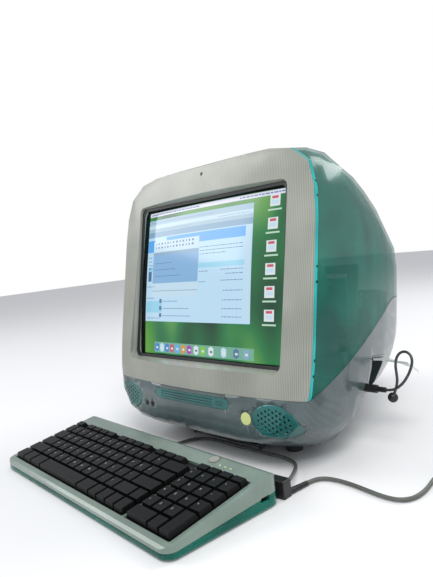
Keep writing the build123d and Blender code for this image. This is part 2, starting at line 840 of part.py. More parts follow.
with BuildPart() as inner_frame:
    with BuildSketch(plan.offset(shelf_height)) as shelf:
        with BuildLine():
            Polyline((-shelf_half_width, shelf_front), (shelf_half_width, shelf_front),
                     (shelf_half_width, shelf_bend), (shelf_back_half, shelf_back), (-shelf_back_half, shelf_back),
                     (-shelf_half_width, shelf_bend), close=True)
        make_face()
        with Locations((0, 92)):
            RectangleRounded(120, 50, 12, mode=Mode.SUBTRACT)
    extrude(amount=-shelf_thickness)
    for sign in (-1, 1):
        inner, outer = sorted((sign * shelf_half_width, sign * (shelf_half_width - shelf_thickness)))
        add(face_block((inner, outer), (shelf_height, shelf_height + flange_height), (flange_front, shelf_bend)))
    with BuildSketch(plan.offset(shelf_height - shelf_thickness - board_drop + board_thickness)) as standoffs:
        with Locations(*standoff_points):
            Circle(3)
    extrude(amount=board_drop - board_thickness)
    add(face_block((fan_foot_x - 14, fan_foot_x + 14), (shelf_height, fan_bottom), (fan_front + 9, fan_front + 12)))
    add(face_block((fan_foot_x - 14, fan_foot_x + 14), (fan_bottom - 3, fan_bottom), (fan_front, fan_front + 20)))
    for sign in (-1, 1):
        add(face_block((sign * 84 - 10, sign * 84 + 10), (shelf_height, 40), (246, 248)))
        add(face_block((sign * 62 - 32, sign * 62 + 32), (26, 40), (246, 248)))
save("inner_frame", inner_frame.part)

board_height = shelf_height - shelf_thickness - board_drop

with BuildPart() as logic_board:
    with BuildSketch(plan.offset(board_height)) as board:
        with Locations((0, (board_front + board_back) / 2)):
            RectangleRounded(2 * board_half_width, board_back - board_front, 4)
    extrude(amount=board_thickness)
    chips = [(0, 80, 34, 34, 4), (-52, 84, 22, 22, 3), (44, 96, 24, 24, 3), (0, 132, 68, 28, 5), (-56, 140, 18, 30, 3),
             (60, 150, 26, 14, 3)]
    for x, depth, width, long, tall in chips:
        with BuildSketch(plan.offset(board_height + board_thickness)):
            with Locations((x, depth)):
                Rectangle(width, long)
        extrude(amount=tall)
save("logic_board", logic_board.part)

with BuildPart() as hard_drive:
    add(face_block((-disk_width / 2, disk_width / 2), (shelf_height, shelf_height + disk_height),
                   (disk_front, disk_back)))
    chamfer(hard_drive.edges().filter_by(lambda edge: abs(edge.length - disk_height) < 0.01), 3)
save("hard_drive", hard_drive.part)

with BuildPart() as power_board:
    board_x = (power_board_x, power_board_x + board_thickness)
    add(face_block(board_x, (shelf_height, shelf_height + power_board_rise), (power_board_front, power_board_back)))
    for height, depth, wide, tall, reach in ((-100, 150, 34, 40, 26), (-60, 204, 30, 30, 30), (-92, 212, 24, 44, 18),
                                             (-30, 150, 20, 34, 14), (-40, 180, 16, 20, 16)):
        block = ((board_x[1], board_x[1] + reach), (height - tall / 2, height + tall / 2),
                 (depth - wide / 2, depth + wide / 2))
        add(face_block(*block))
save("power_board", power_board.part)

fan_back = fan_front + fan_depth
spindle_radius = 2
with BuildPart() as fan_frame:
    add(prism(face_rectangle(fan_x, fan_u, fan_size, fan_size, 4), fan_front, fan_back))
    add(prism(face_circles([(fan_x, fan_u)], fan_size / 2 - 3), fan_front - 1, fan_back - 3), mode=Mode.SUBTRACT)
    with BuildSketch(face) as vent_ring:
        with Locations((fan_x, fan_u)):
            Circle(fan_size / 2 - 3)
            Circle(fan_hub_radius, mode=Mode.SUBTRACT)
            Rectangle(fan_size, 6, mode=Mode.SUBTRACT)
            Rectangle(6, fan_size, mode=Mode.SUBTRACT)
    add(prism(vent_ring.sketch, fan_back - 4, fan_back + 1), mode=Mode.SUBTRACT)
    add(prism(face_circles([(fan_x, fan_u)], spindle_radius), fan_front + 2, fan_back - 2))
save("fan_frame", fan_frame.part)

blade_reach = fan_size / 2 - 5
blade_start = fan_hub_radius - 1
blade_chord = 13
blade_pitch = 34
blade_thickness = 1.4
hub_plane = Plane(origin=on_face(fan_x, fan_u, fan_front + fan_depth / 2), x_dir=(1, 0, 0), z_dir=face.z_dir)

with BuildPart() as fan_rotor:
    add(prism(face_circles([(fan_x, fan_u)], fan_hub_radius), fan_front + 1, fan_back - 5))
    with Locations(hub_plane.location):
        with PolarLocations((blade_start + blade_reach) / 2, fan_blades):
            Box(blade_reach - blade_start, blade_chord, blade_thickness, rotation=(blade_pitch, 0, 0))
    add(prism(face_circles([(fan_x, fan_u)], spindle_radius + fit_gap), fan_front, fan_back), mode=Mode.SUBTRACT)
save("fan_rotor", fan_rotor.part)

# ================================================================ ports, door, inlet
socket_gap = 0.05
socket_rows = {"usb": [(150, -113), (168, -113)], "square": [(151, -131)], "narrow": [(170, -131)],
               "round": [(182, -108), (182, -120), (182, -132)]}


with BuildPart() as port_sockets:
    with BuildSketch(side.offset(port_floor_x + socket_gap)) as shells:
        with Locations(*socket_rows["usb"]):
            Rectangle(14, 7)
        with Locations(*socket_rows["square"]):
            Rectangle(17, 14)
        with Locations(*socket_rows["narrow"]):
            Rectangle(12, 11)
        with Locations(*socket_rows["round"]):
            Circle(4)
    extrude(amount=11)
    with BuildSketch(side.offset(port_floor_x + 1.5)) as mouths:
        with Locations(*socket_rows["usb"]):
            Rectangle(12, 4.6)
        with Locations(*socket_rows["square"]):
            Rectangle(12.5, 9)
        with Locations(*socket_rows["narrow"]):
            Rectangle(8, 7)
        with Locations(*socket_rows["round"]):
            Circle(1.8)
    extrude(amount=12, mode=Mode.SUBTRACT)
save("port_sockets", port_sockets.part)

door_gap = 0.6
door_top = port_top - 0.4
door_block = ((port_floor_x, beyond), (port_bottom + fit_gap, door_top),
              (port_front + door_gap, port_back - door_gap))
hinge_start = on_face(side_reach(door_top, port_front) + door_hinge_stand, door_top, port_front)
hinge_end = on_face(side_reach(door_top, port_back) + door_hinge_stand, door_top, port_back)
door_axis = Axis(hinge_start, hinge_end - hinge_start)
inner_door_form = case_form(door_thickness)

with BuildPart() as closed_door:
    add(outer_form)
    add(inner_door_form, mode=Mode.SUBTRACT)
    add(face_block(*door_block), mode=Mode.INTERSECT)
    with BuildSketch(side.offset(port_floor_x)):
        with Locations(((port_front + port_back) / 2, port_bottom + 13)):
            Circle(door_hole)
    extrude(amount=80, mode=Mode.SUBTRACT)

with BuildPart() as port_door:
    add(closed_door.part.rotate(door_axis, -door_open_angle))
save("port_door", port_door.part)
print("door hinge from", hinge_start, "to", hinge_end)

with BuildPart() as power_inlet:
    add(face_block(*inlet_block))
    (left, right), (low, high), (near, far) = inlet_block
    add(face_block((left + 2.5, right - 2.5), (low + 2.5, high - 2.5), (near + 4, far + 1)), mode=Mode.SUBTRACT)
    add(outer_form, mode=Mode.INTERSECT)
    for x, height in ((-7, inlet_u + 1), (7, inlet_u + 1), (0, inlet_u - 3)):
        add(face_block((x - 1, x + 1), (height - 2, height + 2), (near + 3, near + 15)))
save("power_inlet", power_inlet.part)

# ================================================================ keyboard
desk_turn = radians(keyboard_turn)
tilt = radians(deck_tilt)
# "desk" is level, x along the keyboard and y towards its back; "deck" is the sloping plane of the key plate
desk = Plane(origin=(keyboard_x, keyboard_y, 0), x_dir=(cos(desk_turn), sin(desk_turn), 0), z_dir=(0, 0, 1))
deck_up = desk.z_dir * cos(tilt) - desk.y_dir * sin(tilt)
deck = Plane(origin=desk.from_local_coords(Vector(0, 0, deck_height)), x_dir=desk.x_dir, z_dir=deck_up)
# "profile" is the keyboard's side outline: x towards the back, y up
profile = Plane(origin=desk.origin, x_dir=desk.y_dir, z_dir=desk.x_dir)

keys_width = keypad_start + 4 * key_pitch
keys_depth = function_row_depth + key_rows * key_pitch
keyboard_left = -frame_side
keyboard_right = keys_width + frame_side
keyboard_front = -frame_front
keyboard_back = keys_depth + frame_back
keyboard_middle = (keyboard_left + keyboard_right) / 2
main_width = 15 * key_pitch
slope = tan(tilt)
pad_height = 2


def keyboard_outline(inset, plane):
    """The keyboard's outline from above, drawn in by inset."""
    width = keyboard_right - keyboard_left - 2 * inset
    long = keyboard_back - keyboard_front - 2 * inset
    with BuildSketch(plane) as outline:
        with Locations((keyboard_middle, (keyboard_front + keyboard_back) / 2)):
            RectangleRounded(width, long, keyboard_corner - inset)
    return outline.sketch


def keyboard_form(inset, floor):
    """The keyboard's body: its side outline run across and trimmed to the outline from above."""
    front_v = keyboard_front + inset
    back_v = keyboard_back - inset
    crest_v = keyboard_back - band_drop_start
    crest = keyboard_front_height + (crest_v - keyboard_front) * slope - inset
    shoulder = (back_v, keyboard_back_height + 6 - inset)
    with BuildPart() as form:
        with BuildSketch(profile.offset(keyboard_left - 5)):
            with BuildLine():
                Polyline((back_v, floor), (front_v, floor), (front_v, keyboard_front_height - 2 - inset),
                         (front_v + 3, keyboard_front_height + 3 * slope - inset), (crest_v, crest))
                Spline((crest_v, crest), shoulder, tangents=((1, slope), (0.3, -1)))
                Line(shoulder, (back_v, floor))
            make_face()
        extrude(amount=keyboard_right - keyboard_left + 10)
        extrude(keyboard_outline(inset, desk), amount=80, mode=Mode.INTERSECT)
    return form.part


def below_split(lift):
    """Everything in the keyboard that lies under its sloping parting line."""
    front_v, back_v = keyboard_front - 5, keyboard_back + 5
    with BuildPart() as zone:
        with BuildSketch(profile.offset(keyboard_left - 20)):
            with BuildLine():
                Polyline((front_v, -5), (front_v, keyboard_split_front + lift),
                         (back_v, keyboard_split_back + lift), (back_v, -5), close=True)
            make_face()
        extrude(amount=keyboard_right - keyboard_left + 40)
    return zone.part


def deck_rectangle(left, right, low, high, corner, height=0.0):
    """A rounded rectangle on the deck plane."""
    with BuildSketch(deck.offset(height)) as outline:
        with Locations(((left + right) / 2, (low + high) / 2)):
            RectangleRounded(right - left, high - low, corner)
    return outline.sketch


def desk_block(u_range, v_range, z_range):
    """A block along the keyboard's own directions, given by its ranges."""
    (u0, u1), (v0, v1), (z0, z1) = u_range, v_range, z_range
    with BuildPart() as block:
        with BuildSketch(desk.offset(z0)):
            with Locations(((u0 + u1) / 2, (v0 + v1) / 2)):
                Rectangle(u1 - u0, v1 - v0)
        extrude(amount=z1 - z0)
    return block.part


keyboard_outer = keyboard_form(0, pad_height)
keyboard_inner = keyboard_form(keyboard_wall, pad_height + keyboard_floor)

prop_axis_v = keyboard_back - 22
prop_front_v = prop_axis_v + prop_thickness / 2 - prop_width
prop_axis_z = pad_height + fit_gap + prop_thickness / 2
prop_pin = 1.5
pin_reach = 3
channel_top = pad_height + prop_thickness + 2 * fit_gap + 0.6
prop_span = (keyboard_middle - prop_length / 2, keyboard_middle + prop_length / 2)
channel_v = (prop_front_v - 1.5, prop_axis_v + prop_thickness / 2 + 1.2)
post_spacing = 85
deck_posts = [(56 + post_spacing * i, key_pitch * j) for i in range(4) for j in (2, 4)]
port_slot_v = keyboard_back - 24
usb_width = 12.4
usb_height = 5.2
usb_depth = 16
usb_z = 13
cord_exit_u = 140
cord_exit_z = 10

cord_exit_plane = Plane(origin=desk.from_local_coords(Vector(cord_exit_u, keyboard_back, cord_exit_z)),
                        x_dir=desk.x_dir, z_dir=desk.y_dir)

with BuildPart() as keyboard_base:
    add(keyboard_outer)
    add(keyboard_inner, mode=Mode.SUBTRACT)
    add(below_split(0), mode=Mode.INTERSECT)
    add(desk_block((prop_span[0] - 7, prop_span[1] + 7), (channel_v[0] - 2, channel_v[1] + 2),
                   (pad_height, channel_top + 2)))
    with BuildSketch(desk.offset(pad_height + 1)):
        with Locations(*deck_posts):
            Circle(3)
    extrude(amount=60)
    extrude(deck_rectangle(-90, keys_width + 90, -90, keys_depth + 90, 5, -deck_thickness - 0.05), amount=80,
            dir=deck.z_dir, mode=Mode.SUBTRACT)
    add(desk_block((prop_span[0] - 1, prop_span[1] + 1), channel_v, (0, channel_top)), mode=Mode.SUBTRACT)
    with BuildSketch(profile.offset(prop_span[0] - pin_reach - 1)):
        with Locations((prop_axis_v, prop_axis_z)):
            Circle(prop_pin + 0.2)
    extrude(amount=prop_length + 2 * pin_reach + 2, mode=Mode.SUBTRACT)
    for u in (keyboard_left, keyboard_right):
        add(desk_block((u - usb_depth, u + usb_depth), (port_slot_v - usb_width / 2, port_slot_v + usb_width / 2),
                       (usb_z - usb_height / 2, 40)), mode=Mode.SUBTRACT)
    with BuildSketch(cord_exit_plane):
        Circle(lead_radius + 0.3)
    extrude(amount=-2 * keyboard_wall, mode=Mode.SUBTRACT)
save("keyboard_base", keyboard_base.part)

with BuildPart() as cord_gland:
    with BuildSketch(cord_exit_plane.offset(0.1)):
        Circle(gland_radius)
    extrude(amount=gland_length, taper=5)
    with BuildSketch(cord_exit_plane):
        Circle(lead_radius + 0.6)
    extrude(amount=gland_length + 1, mode=Mode.SUBTRACT)
save("cord_gland", cord_gland.part)

with BuildPart() as keyboard_prop:
    with BuildSketch(profile.offset(prop_span[0])):
        with Locations(((prop_front_v + prop_axis_v + prop_thickness / 2) / 2, prop_axis_z)):
            RectangleRounded(prop_width, prop_thickness, prop_thickness / 2 - 0.05)
    extrude(amount=prop_length)
    with BuildSketch(profile.offset(prop_span[0] - pin_reach)):
        with Locations((prop_axis_v, prop_axis_z)):
            Circle(prop_pin)
    extrude(amount=prop_length + 2 * pin_reach)
save("keyboard_prop", keyboard_prop.part)

rubber_points = [(u, v) for u in (4, keys_width - 4) for v in (0, keyboard_back - 12)]
with BuildPart() as keyboard_feet:
    with BuildSketch(desk):
        with Locations(*rubber_points):
            Circle(5)
    extrude(amount=pad_height)
save("keyboard_feet", keyboard_feet.part)

power_key_point = (294, keyboard_back - 18)
light_points = [(310 + 9 * i, keyboard_back - 24) for i in range(3)]


def band_circles(points, radius, height):
    """Circles over the keyboard's rear band, on a plane that slopes with it."""
    with BuildSketch(deck.offset(height)) as outline:
        with Locations(*[(u, v / cos(tilt)) for u, v in points]):
            Circle(radius)
    return outline.sketch


deck_to_band = (keyboard_front_height + frame_front * slope - deck_height) * cos(tilt)

with BuildPart() as keyboard_frame:
    add(keyboard_outer)
    add(keyboard_inner, mode=Mode.SUBTRACT)
    add(below_split(0.3), mode=Mode.SUBTRACT)
    window_height = 12
    main_window = deck_rectangle(-well_margin, main_width + well_margin, -well_margin, keys_depth + well_margin, 2)
    extrude(main_window, amount=window_height, dir=deck.z_dir, mode=Mode.SUBTRACT)
    pad_window = deck_rectangle(keypad_start - well_margin, keys_width + well_margin, -well_margin,
                                keys_depth + well_margin, 2)
    extrude(pad_window, amount=window_height, dir=deck.z_dir, mode=Mode.SUBTRACT)
    extrude(band_circles([power_key_point], power_key_radius + fit_gap, -4), amount=12, dir=deck.z_dir,
            mode=Mode.SUBTRACT)
    extrude(band_circles(light_points, light_radius + 0.1, -4), amount=12, dir=deck.z_dir, mode=Mode.SUBTRACT)
    for u in (keyboard_left, keyboard_right):
        add(desk_block((u - usb_depth, u + usb_depth), (port_slot_v - usb_width / 2, port_slot_v + usb_width / 2),
                       (0, usb_z + usb_height / 2)), mode=Mode.SUBTRACT)
save("keyboard_frame", keyboard_frame.part)

with BuildPart() as keyboard_power_key:
    extrude(band_circles([power_key_point], power_key_radius, deck_to_band - 3.5), amount=5, dir=deck.z_dir)
    chamfer(keyboard_power_key.edges().filter_by(GeomType.CIRCLE).sort_by(Axis.Z)[-1], 0.5)
save("keyboard_power_key", keyboard_power_key.part)

with BuildPart() as indicator_lights:
    extrude(band_circles(light_points, light_radius, deck_to_band - 3), amount=3.3, dir=deck.z_dir)
save("indicator_lights", indicator_lights.part)

# ---------------------------------------------------------------- keys
# Each row from the front: widths in key units from the left edge; a name starts the keys that move alone.
letter_rows = {
    "keys_bottom_row": (0, [1.25, 1.25, 1.5, -5.5, 1.5, 1]),
    "keys_lower_row": (1, [2.25] + [1] * 10 + [1.75]),
    "keys_home_row": (2, [1.75] + [1] * 11 + [2.25]),
    "keys_upper_row": (3, [1.5] + [1] * 12 + [1.5]),
    "keys_number_row": (4, [1] * 13 + [2]),
}
pad_rows = {0: [2, 1, -1], 1: [1, 1, 1, -1], 2: [1, 1, 1, 1], 3: [1, 1, 1, 1], 4: [1, 1, 1, 1]}
function_gaps = [1, -0.67, 1, 1, 1, 1, -0.66, 1, 1, 1, 1, -0.67, 1, 1, 1]
space_start = 4
space_units = 5.5


def key_spans(units, left):
    """Left edge and width of each key in a row; a negative width is a gap."""
    spans = []
    for unit in units:
        if unit > 0:
            spans.append((left, unit * key_pitch))
        left += abs(unit) * key_pitch
    return spans


def key_block(spans, low, tall):
    """Tapered key caps with their stems, standing over the deck."""
    with BuildPart() as caps:
        for left, width in spans:
            with BuildSketch(deck.offset(key_rest)):
                with Locations((left + width / 2, low + tall / 2)):
                    Rectangle(width - key_gap, tall - key_gap)
            extrude(amount=key_height, taper=key_taper)
        with BuildSketch(deck.offset(-stem_reach)):
            with Locations(*[(left + width / 2, low + tall / 2) for left, width in spans]):
                Circle(stem_radius)
        extrude(amount=stem_reach + key_rest + 1)
    return caps.part


key_caps = {}
stem_points = []


def add_keys(name, spans, low, tall):
    """Build the caps of some keys and remember where their stems pass the deck."""
    caps = key_block(spans, low, tall)
    key_caps[name] = key_caps[name] + caps if name in key_caps else caps
    stem_points.extend((left + width / 2, low + tall / 2) for left, width in spans)


for name, (row, units) in letter_rows.items():
    add_keys(name, key_spans(units, 0) + key_spans(pad_rows[row], keypad_start), row * key_pitch, key_pitch)
add_keys("keys_function_row", key_spans(function_gaps, 0) + key_spans([1] * 4, keypad_start),
         key_rows * key_pitch, function_row_depth)
add_keys("space_bar", key_spans([space_units], space_start * key_pitch), 0, key_pitch)
add_keys("arrow_keys", key_spans([1] * 3, 12 * key_pitch), 0, key_pitch)
add_keys("arrow_keys", key_spans([1], 13 * key_pitch + key_pitch), key_pitch, key_pitch)
add_keys("enter_key", key_spans([1], keypad_start + 3 * key_pitch), 0, 2 * key_pitch)
for name, caps in key_caps.items():
    save(name, caps)

with BuildPart() as key_plate:
    extrude(deck_rectangle(-well_margin - 1, keys_width + well_margin + 1, -well_margin - 1,
                           keys_depth + well_margin + 1, 3), amount=-deck_thickness)
    with BuildSketch(deck):
        with Locations(*stem_points):
            Circle(stem_radius + stem_clearance)
    extrude(amount=-deck_thickness, mode=Mode.SUBTRACT)
save("key_plate", key_plate.part)

# ================================================================ leads
def cord_tube(points, radius):
    """A round tube along straight runs joined by arcs as large as their runs allow."""
    vectors = [Vector(*point) for point in points]
    radii = []
    for before, here, after in zip(vectors, vectors[1:], vectors[2:]):
        turn = radians((here - before).get_angle(after - here))
        radii.append(0.45 * min((here - before).length, (after - here).length) / tan(turn / 2))
    with BuildPart() as tube:
        with BuildLine() as path:
            FilletPolyline(*vectors, radius=radii)
        with BuildSketch(Plane(origin=vectors[0], z_dir=vectors[1] - vectors[0])):
            Circle(radius)
        sweep()
    length = sum(edge.length for edge in path.line.edges())
    print("tube", round(length), "mm long, tightest arc", round(min(radii), 1), "mm, volume ratio",
          round(tube.part.volume / (pi * radius ** 2 * length), 4))
    return tube.part


table_z = lead_radius + 0.1
cord_exit = cord_exit_plane.origin
keyboard_cord_points = [
    (cord_exit.X, cord_exit.Y, cord_exit.Z),
    (cord_exit.X + 0.7, cord_exit.Y + 14, 9),
    (-58.1, -119, 5.2),
    (-59.9, -103, table_z),
    (-57.5, -88, table_z),
    (-48.5, -75.5, table_z),
    (-31.5, -69.3, table_z),
    (-7.5, -68.5, table_z),
    (18.5, -70.6, table_z),
    (46.5, -68.8, table_z),
    (74.5, -70.4, table_z),
    (98.5, -68.8, table_z),
    (117.5, -71, table_z),
    (133.5, -80, 3.6),
    (146, -95, 6.2),
    (156.5, -111, 9.6),
    (166, -126, 13),
    (173.5, -139.5, 15),
    (174.8, -143.8, 15.3),
]
block_turn = radians(3)
block_plane = Plane(origin=(158.5, -152.5, 0), x_dir=(cos(block_turn), sin(block_turn), 0), z_dir=(0, 0, 1))
block_right = block_length / 2
block_rear = block_width / 2
boot_start = block_plane.from_local_coords(Vector(block_right - 3.5, block_rear, 3.6))
boot_end = Vector(177.8, -115.5, 2.9)
extension_points = [
    (boot_end.X, boot_end.Y, boot_end.Z),
    (178.1, -104.5, table_z),
    (183.5, -95.5, table_z),
    (194.5, -91, table_z),
    (208.5, -90.2, table_z),
    (225.5, -91.8, table_z),
    (245.5, -95.6, table_z),
    (264.5, -98.8, table_z),
    (279.5, -97.6, table_z),
    (289, -89, table_z),
    (292.5, -75, table_z),
    (291.9, -57, table_z),
    (288.5, -38, table_z),
    (285.9, -19, table_z),
    (285.8, -4, table_z),
]
coil_centre = (315, 14)
coil_outer = 32
coil_inner = 18.5
coil_height = 9.4

with BuildPart() as keyboard_cord:
    add(cord_tube(keyboard_cord_points, lead_radius))
save("keyboard_cord", keyboard_cord.part)

with BuildPart() as usb_block:
    with BuildSketch(block_plane):
        RectangleRounded(block_length, block_width, 1.5)
    extrude(amount=block_height)
    chamfer(usb_block.edges().group_by(Axis.Z)[-1], 1)
save("usb_block", usb_block.part)

with BuildPart() as cord_boot:
    along = boot_end - boot_start
    with BuildSketch(Plane(origin=boot_start + along.normalized() * 0.6, z_dir=along)):
        Circle(3.4)
    with BuildSketch(Plane(origin=boot_end, z_dir=along)):
        Circle(lead_radius + 0.4)
    loft()
save("cord_boot", cord_boot.part)

with BuildPart() as extension_cord:
    add(cord_tube(extension_points, lead_radius))
save("extension_cord", extension_cord.part)

with BuildPart() as extension_coil:
    with BuildSketch(Plane(origin=(coil_centre[0], coil_centre[1], 0.1))):
        Circle(coil_outer)
        Circle(coil_inner, mode=Mode.SUBTRACT)
    extrude(amount=coil_height)
    fillet(extension_coil.edges().filter_by(GeomType.CIRCLE), 2)
save("extension_coil", extension_coil.part)

plug_body = 26
plug_shell = 12
plug_offset = 6
plug_plane = Plane(origin=(coil_centre[0] - 2, coil_centre[1] - 22, coil_height + 0.2), x_dir=(-1, 0, 0),
                   z_dir=(0, 0, 1))
with BuildPart() as usb_plug:
    with BuildSketch(plug_plane):
        with Locations((-plug_offset, 0)):
            RectangleRounded(plug_body, 15, 2)
    extrude(amount=7.5)
    chamfer(usb_plug.edges().group_by(Axis.Z)[-1], 0.8)
    with BuildSketch(plug_plane.offset(1.5)):
        with Locations((plug_body / 2 - plug_offset + plug_shell / 2 - 0.5, 0)):
            Rectangle(plug_shell + 1, 12)
    extrude(amount=4.5)
    with BuildSketch(plug_plane.offset(3.6)):
        with Locations((plug_body / 2 - plug_offset + plug_shell / 2 + 1, 0)):
            Rectangle(plug_shell, 11)
    extrude(amount=2, mode=Mode.SUBTRACT)
save("usb_plug", usb_plug.part)

# ---------------------------------------------------------------- short stiff lead beside the port door
lead_plug_step = 200
lead_plug_end = 212
lead_boot_radius = 3.4
# Each point: across from the computer's middle, height up its face and depth behind it
short_lead_route = [
    (lead_plug_end, lead_height, lead_depth),
    (220, -138.4, 127.9),
    (228.2, -135, 127),
    (235.6, -128.8, 126.4),
    (241.6, -120.6, 126),
    (246, -111, 126),
    (248.2, -101, 126.8),
    (245.4, -92.6, 128.2),
    (237.6, -88.4, 129.8),
    (229.2, -90.4, 131.2),
    (223.6, -97.4, 132.4),
    (222.2, -106.8, 133),
    (223.4, -116, 133.4),
    (225, -125, 133.4),
    (224.2, -133.8, 133.2),
    (221.8, -142, 132.4),
]
head_radius = 6.4
lead_points = [on_face(*point) for point in short_lead_route]
head_centre = lead_points[-1] + (lead_points[-1] - lead_points[-2]).normalized() * (head_radius - 0.6)

with BuildPart() as lead_plug:
    with BuildSketch(side.offset(lead_plug_start)):
        with Locations((lead_depth, lead_height)):
            Circle(lead_plug_radius)
    extrude(amount=lead_plug_step - lead_plug_start)
    with BuildSketch(side.offset(lead_plug_step)):
        with Locations((lead_depth, lead_height)):
            Circle(lead_boot_radius)
    extrude(amount=lead_plug_end - lead_plug_step)
save("lead_plug", lead_plug.part)

with BuildPart() as port_lead:
    add(cord_tube(lead_points, short_lead_radius))
save("port_lead", port_lead.part)

with BuildPart() as lead_head:
    head_axis = lead_points[-1] - head_centre
    with Locations(head_centre):
        Sphere(head_radius)
    with BuildSketch(Plane(origin=head_centre + head_axis.normalized() * (head_axis.length - 0.05),
                           z_dir=head_axis)):
        Circle(4 * head_radius)
    extrude(amount=4 * head_radius, mode=Mode.SUBTRACT)
save("lead_head", lead_head.part)
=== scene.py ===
# %% [markdown]
# A vintage all-in-one home computer with its keyboard and leads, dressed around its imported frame.
# The frame holds every piece at its real size. This file gives the pieces their finish, rounds their
# edges, and adds the leads, the glowing screen picture and the fine trim.

# %% Load the frame
import bpy
import json
from math import cos, pi, radians, sin
from mathutils import Matrix, Vector


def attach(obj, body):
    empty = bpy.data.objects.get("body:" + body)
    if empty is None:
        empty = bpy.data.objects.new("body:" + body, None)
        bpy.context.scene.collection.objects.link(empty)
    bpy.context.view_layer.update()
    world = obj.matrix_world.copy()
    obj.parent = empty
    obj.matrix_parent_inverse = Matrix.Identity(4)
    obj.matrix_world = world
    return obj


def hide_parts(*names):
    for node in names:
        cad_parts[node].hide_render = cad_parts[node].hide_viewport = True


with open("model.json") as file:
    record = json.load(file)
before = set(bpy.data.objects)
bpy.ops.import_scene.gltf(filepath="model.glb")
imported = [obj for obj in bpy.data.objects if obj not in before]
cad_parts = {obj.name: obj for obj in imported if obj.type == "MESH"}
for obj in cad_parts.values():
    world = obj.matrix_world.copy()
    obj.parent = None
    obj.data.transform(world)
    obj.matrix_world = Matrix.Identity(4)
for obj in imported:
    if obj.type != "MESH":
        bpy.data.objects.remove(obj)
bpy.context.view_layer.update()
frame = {"nodes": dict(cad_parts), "record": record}

# %% [markdown]
# The scene is in metres. Most sizes are written in millimetres and multiplied by mm. The computer leans
# back on its own plane: x runs across it, height runs up the leaning face, and depth runs back into the
# case. These values repeat the frame's own reference sizes.

# %% The leaning face
mm = 0.001
face_centre = Vector((-9, -72, 238)) * mm
face_lean = radians(11)
face_up = Vector((0, sin(face_lean), cos(face_lean)))
face_in = Vector((0, cos(face_lean), -sin(face_lean)))


def on_face(x, height, depth):
    """A point in metres, given across, up and into the computer in millimetres."""
    return face_centre + Vector((x * mm, 0, 0)) + face_up * (height * mm) + face_in * (depth * mm)


print("face centre", [round(v, 3) for v in on_face(0, 0, 0)])

# %% [markdown]
# The camera stands to the right of the computer, a little above the desk, and is rolled slightly, so the
# desk slopes in the picture. An aim at a target can't hold a roll, so the camera's own right, up and
# forward directions are worked out from its three angles and put in a matrix.

# %% Camera
camera_place = Vector((568.79, -594.25, 275.95)) * mm
camera_yaw = radians(46.59)
camera_pitch = radians(-3.93)
camera_roll = radians(-6.05)
film_width = 36
lens_length = 34.63
nearest_seen = 0.01
farthest_seen = 50

forward = Vector((-sin(camera_yaw) * cos(camera_pitch), cos(camera_yaw) * cos(camera_pitch),
                  sin(camera_pitch)))
level_right = Vector((cos(camera_yaw), sin(camera_yaw), 0))
level_up = level_right.cross(forward)
camera_right = level_right * cos(camera_roll) + level_up * sin(camera_roll)
camera_up = level_up * cos(camera_roll) - level_right * sin(camera_roll)

camera_data = bpy.data.cameras.new("camera")
camera_data.sensor_width = film_width
camera_data.lens = lens_length
camera_data.clip_start = nearest_seen
camera_data.clip_end = farthest_seen
camera = bpy.data.objects.new("camera", camera_data)
bpy.context.scene.collection.objects.link(camera)
turn = Matrix((camera_right, camera_up, -forward)).transposed().to_4x4()
camera.matrix_world = Matrix.Translation(camera_place) @ turn
bpy.context.scene.camera = camera
print("camera at", [round(v, 3) for v in camera_place], "lens", lens_length)

# %% [markdown]
# Blender's operators act on all that is selected, and loading the frame leaves its pieces selected. These
# helpers empty the selection, select one piece, or join several pieces into the first of them.


# %% Selecting and joining
def deselect():
    """Take every piece out of the selection."""
    for piece in bpy.context.selected_objects:
        piece.select_set(False)


def only(piece):
    """Make one piece the selected and active one."""
    deselect()
    piece.select_set(True)
    bpy.context.view_layer.objects.active = piece


def join_pieces(pieces, name):
    """Join pieces into the first of them, under a new name."""
    deselect()
    for piece in pieces:
        piece.select_set(True)
    bpy.context.view_layer.objects.active = pieces[0]
    bpy.ops.object.join()
    whole = bpy.context.active_object
    whole.name = name
    return whole


# %% [markdown]
# The desk is one large pale plane, a little below the frame's zero height, so that nothing that rests on
# the desk lies in the same plane as it.

# %% Floor
floor_size = 12
floor_height = -0.0006
floor_grey = (0.86, 0.86, 0.86, 1)
floor_gloss = 0.6

deselect()
bpy.ops.mesh.primitive_plane_add(size=floor_size, location=(0, 0, floor_height))
floor = bpy.context.active_object
floor.name = "floor"
floor_finish = bpy.data.materials.new("pale_floor")
floor_finish.use_nodes = True
floor_shader = floor_finish.node_tree.nodes["Principled BSDF"]
floor_shader.inputs["Base Color"].default_value = floor_grey
floor_shader.inputs["Roughness"].default_value = floor_gloss
floor.data.materials.append(floor_finish)
print("floor", floor_size, "m wide")

# %% [markdown]
# Three large area lamps give broad, soft highlights on the gloss shells. Small lamps would leave hard
# bright dots there. The places are in metres, and the power is in watts.


# %% Lamps
def area_lamp(name, place, target, size, power):
    """A square soft lamp that looks at a target."""
    lamp_data = bpy.data.lights.new(name, "AREA")
    lamp_data.size = size
    lamp_data.energy = power
    lamp = bpy.data.objects.new(name, lamp_data)
    bpy.context.scene.collection.objects.link(lamp)
    lamp.location = place
    lamp.rotation_euler = (Vector(target) - Vector(place)).to_track_quat("-Z", "Y").to_euler()
    print(name, power, "W")


area_lamp("key_lamp", place=(1.1, -0.9, 1.9), target=(0, 0, 0.2), size=1.0, power=26)
area_lamp("left_lamp", place=(-1.7, -1.2, 1.4), target=(0, 0, 0.2), size=1.2, power=16)
area_lamp("rear_lamp", place=(0.6, 1.8, 1.6), target=(0, 0, 0.25), size=1.0, power=20)

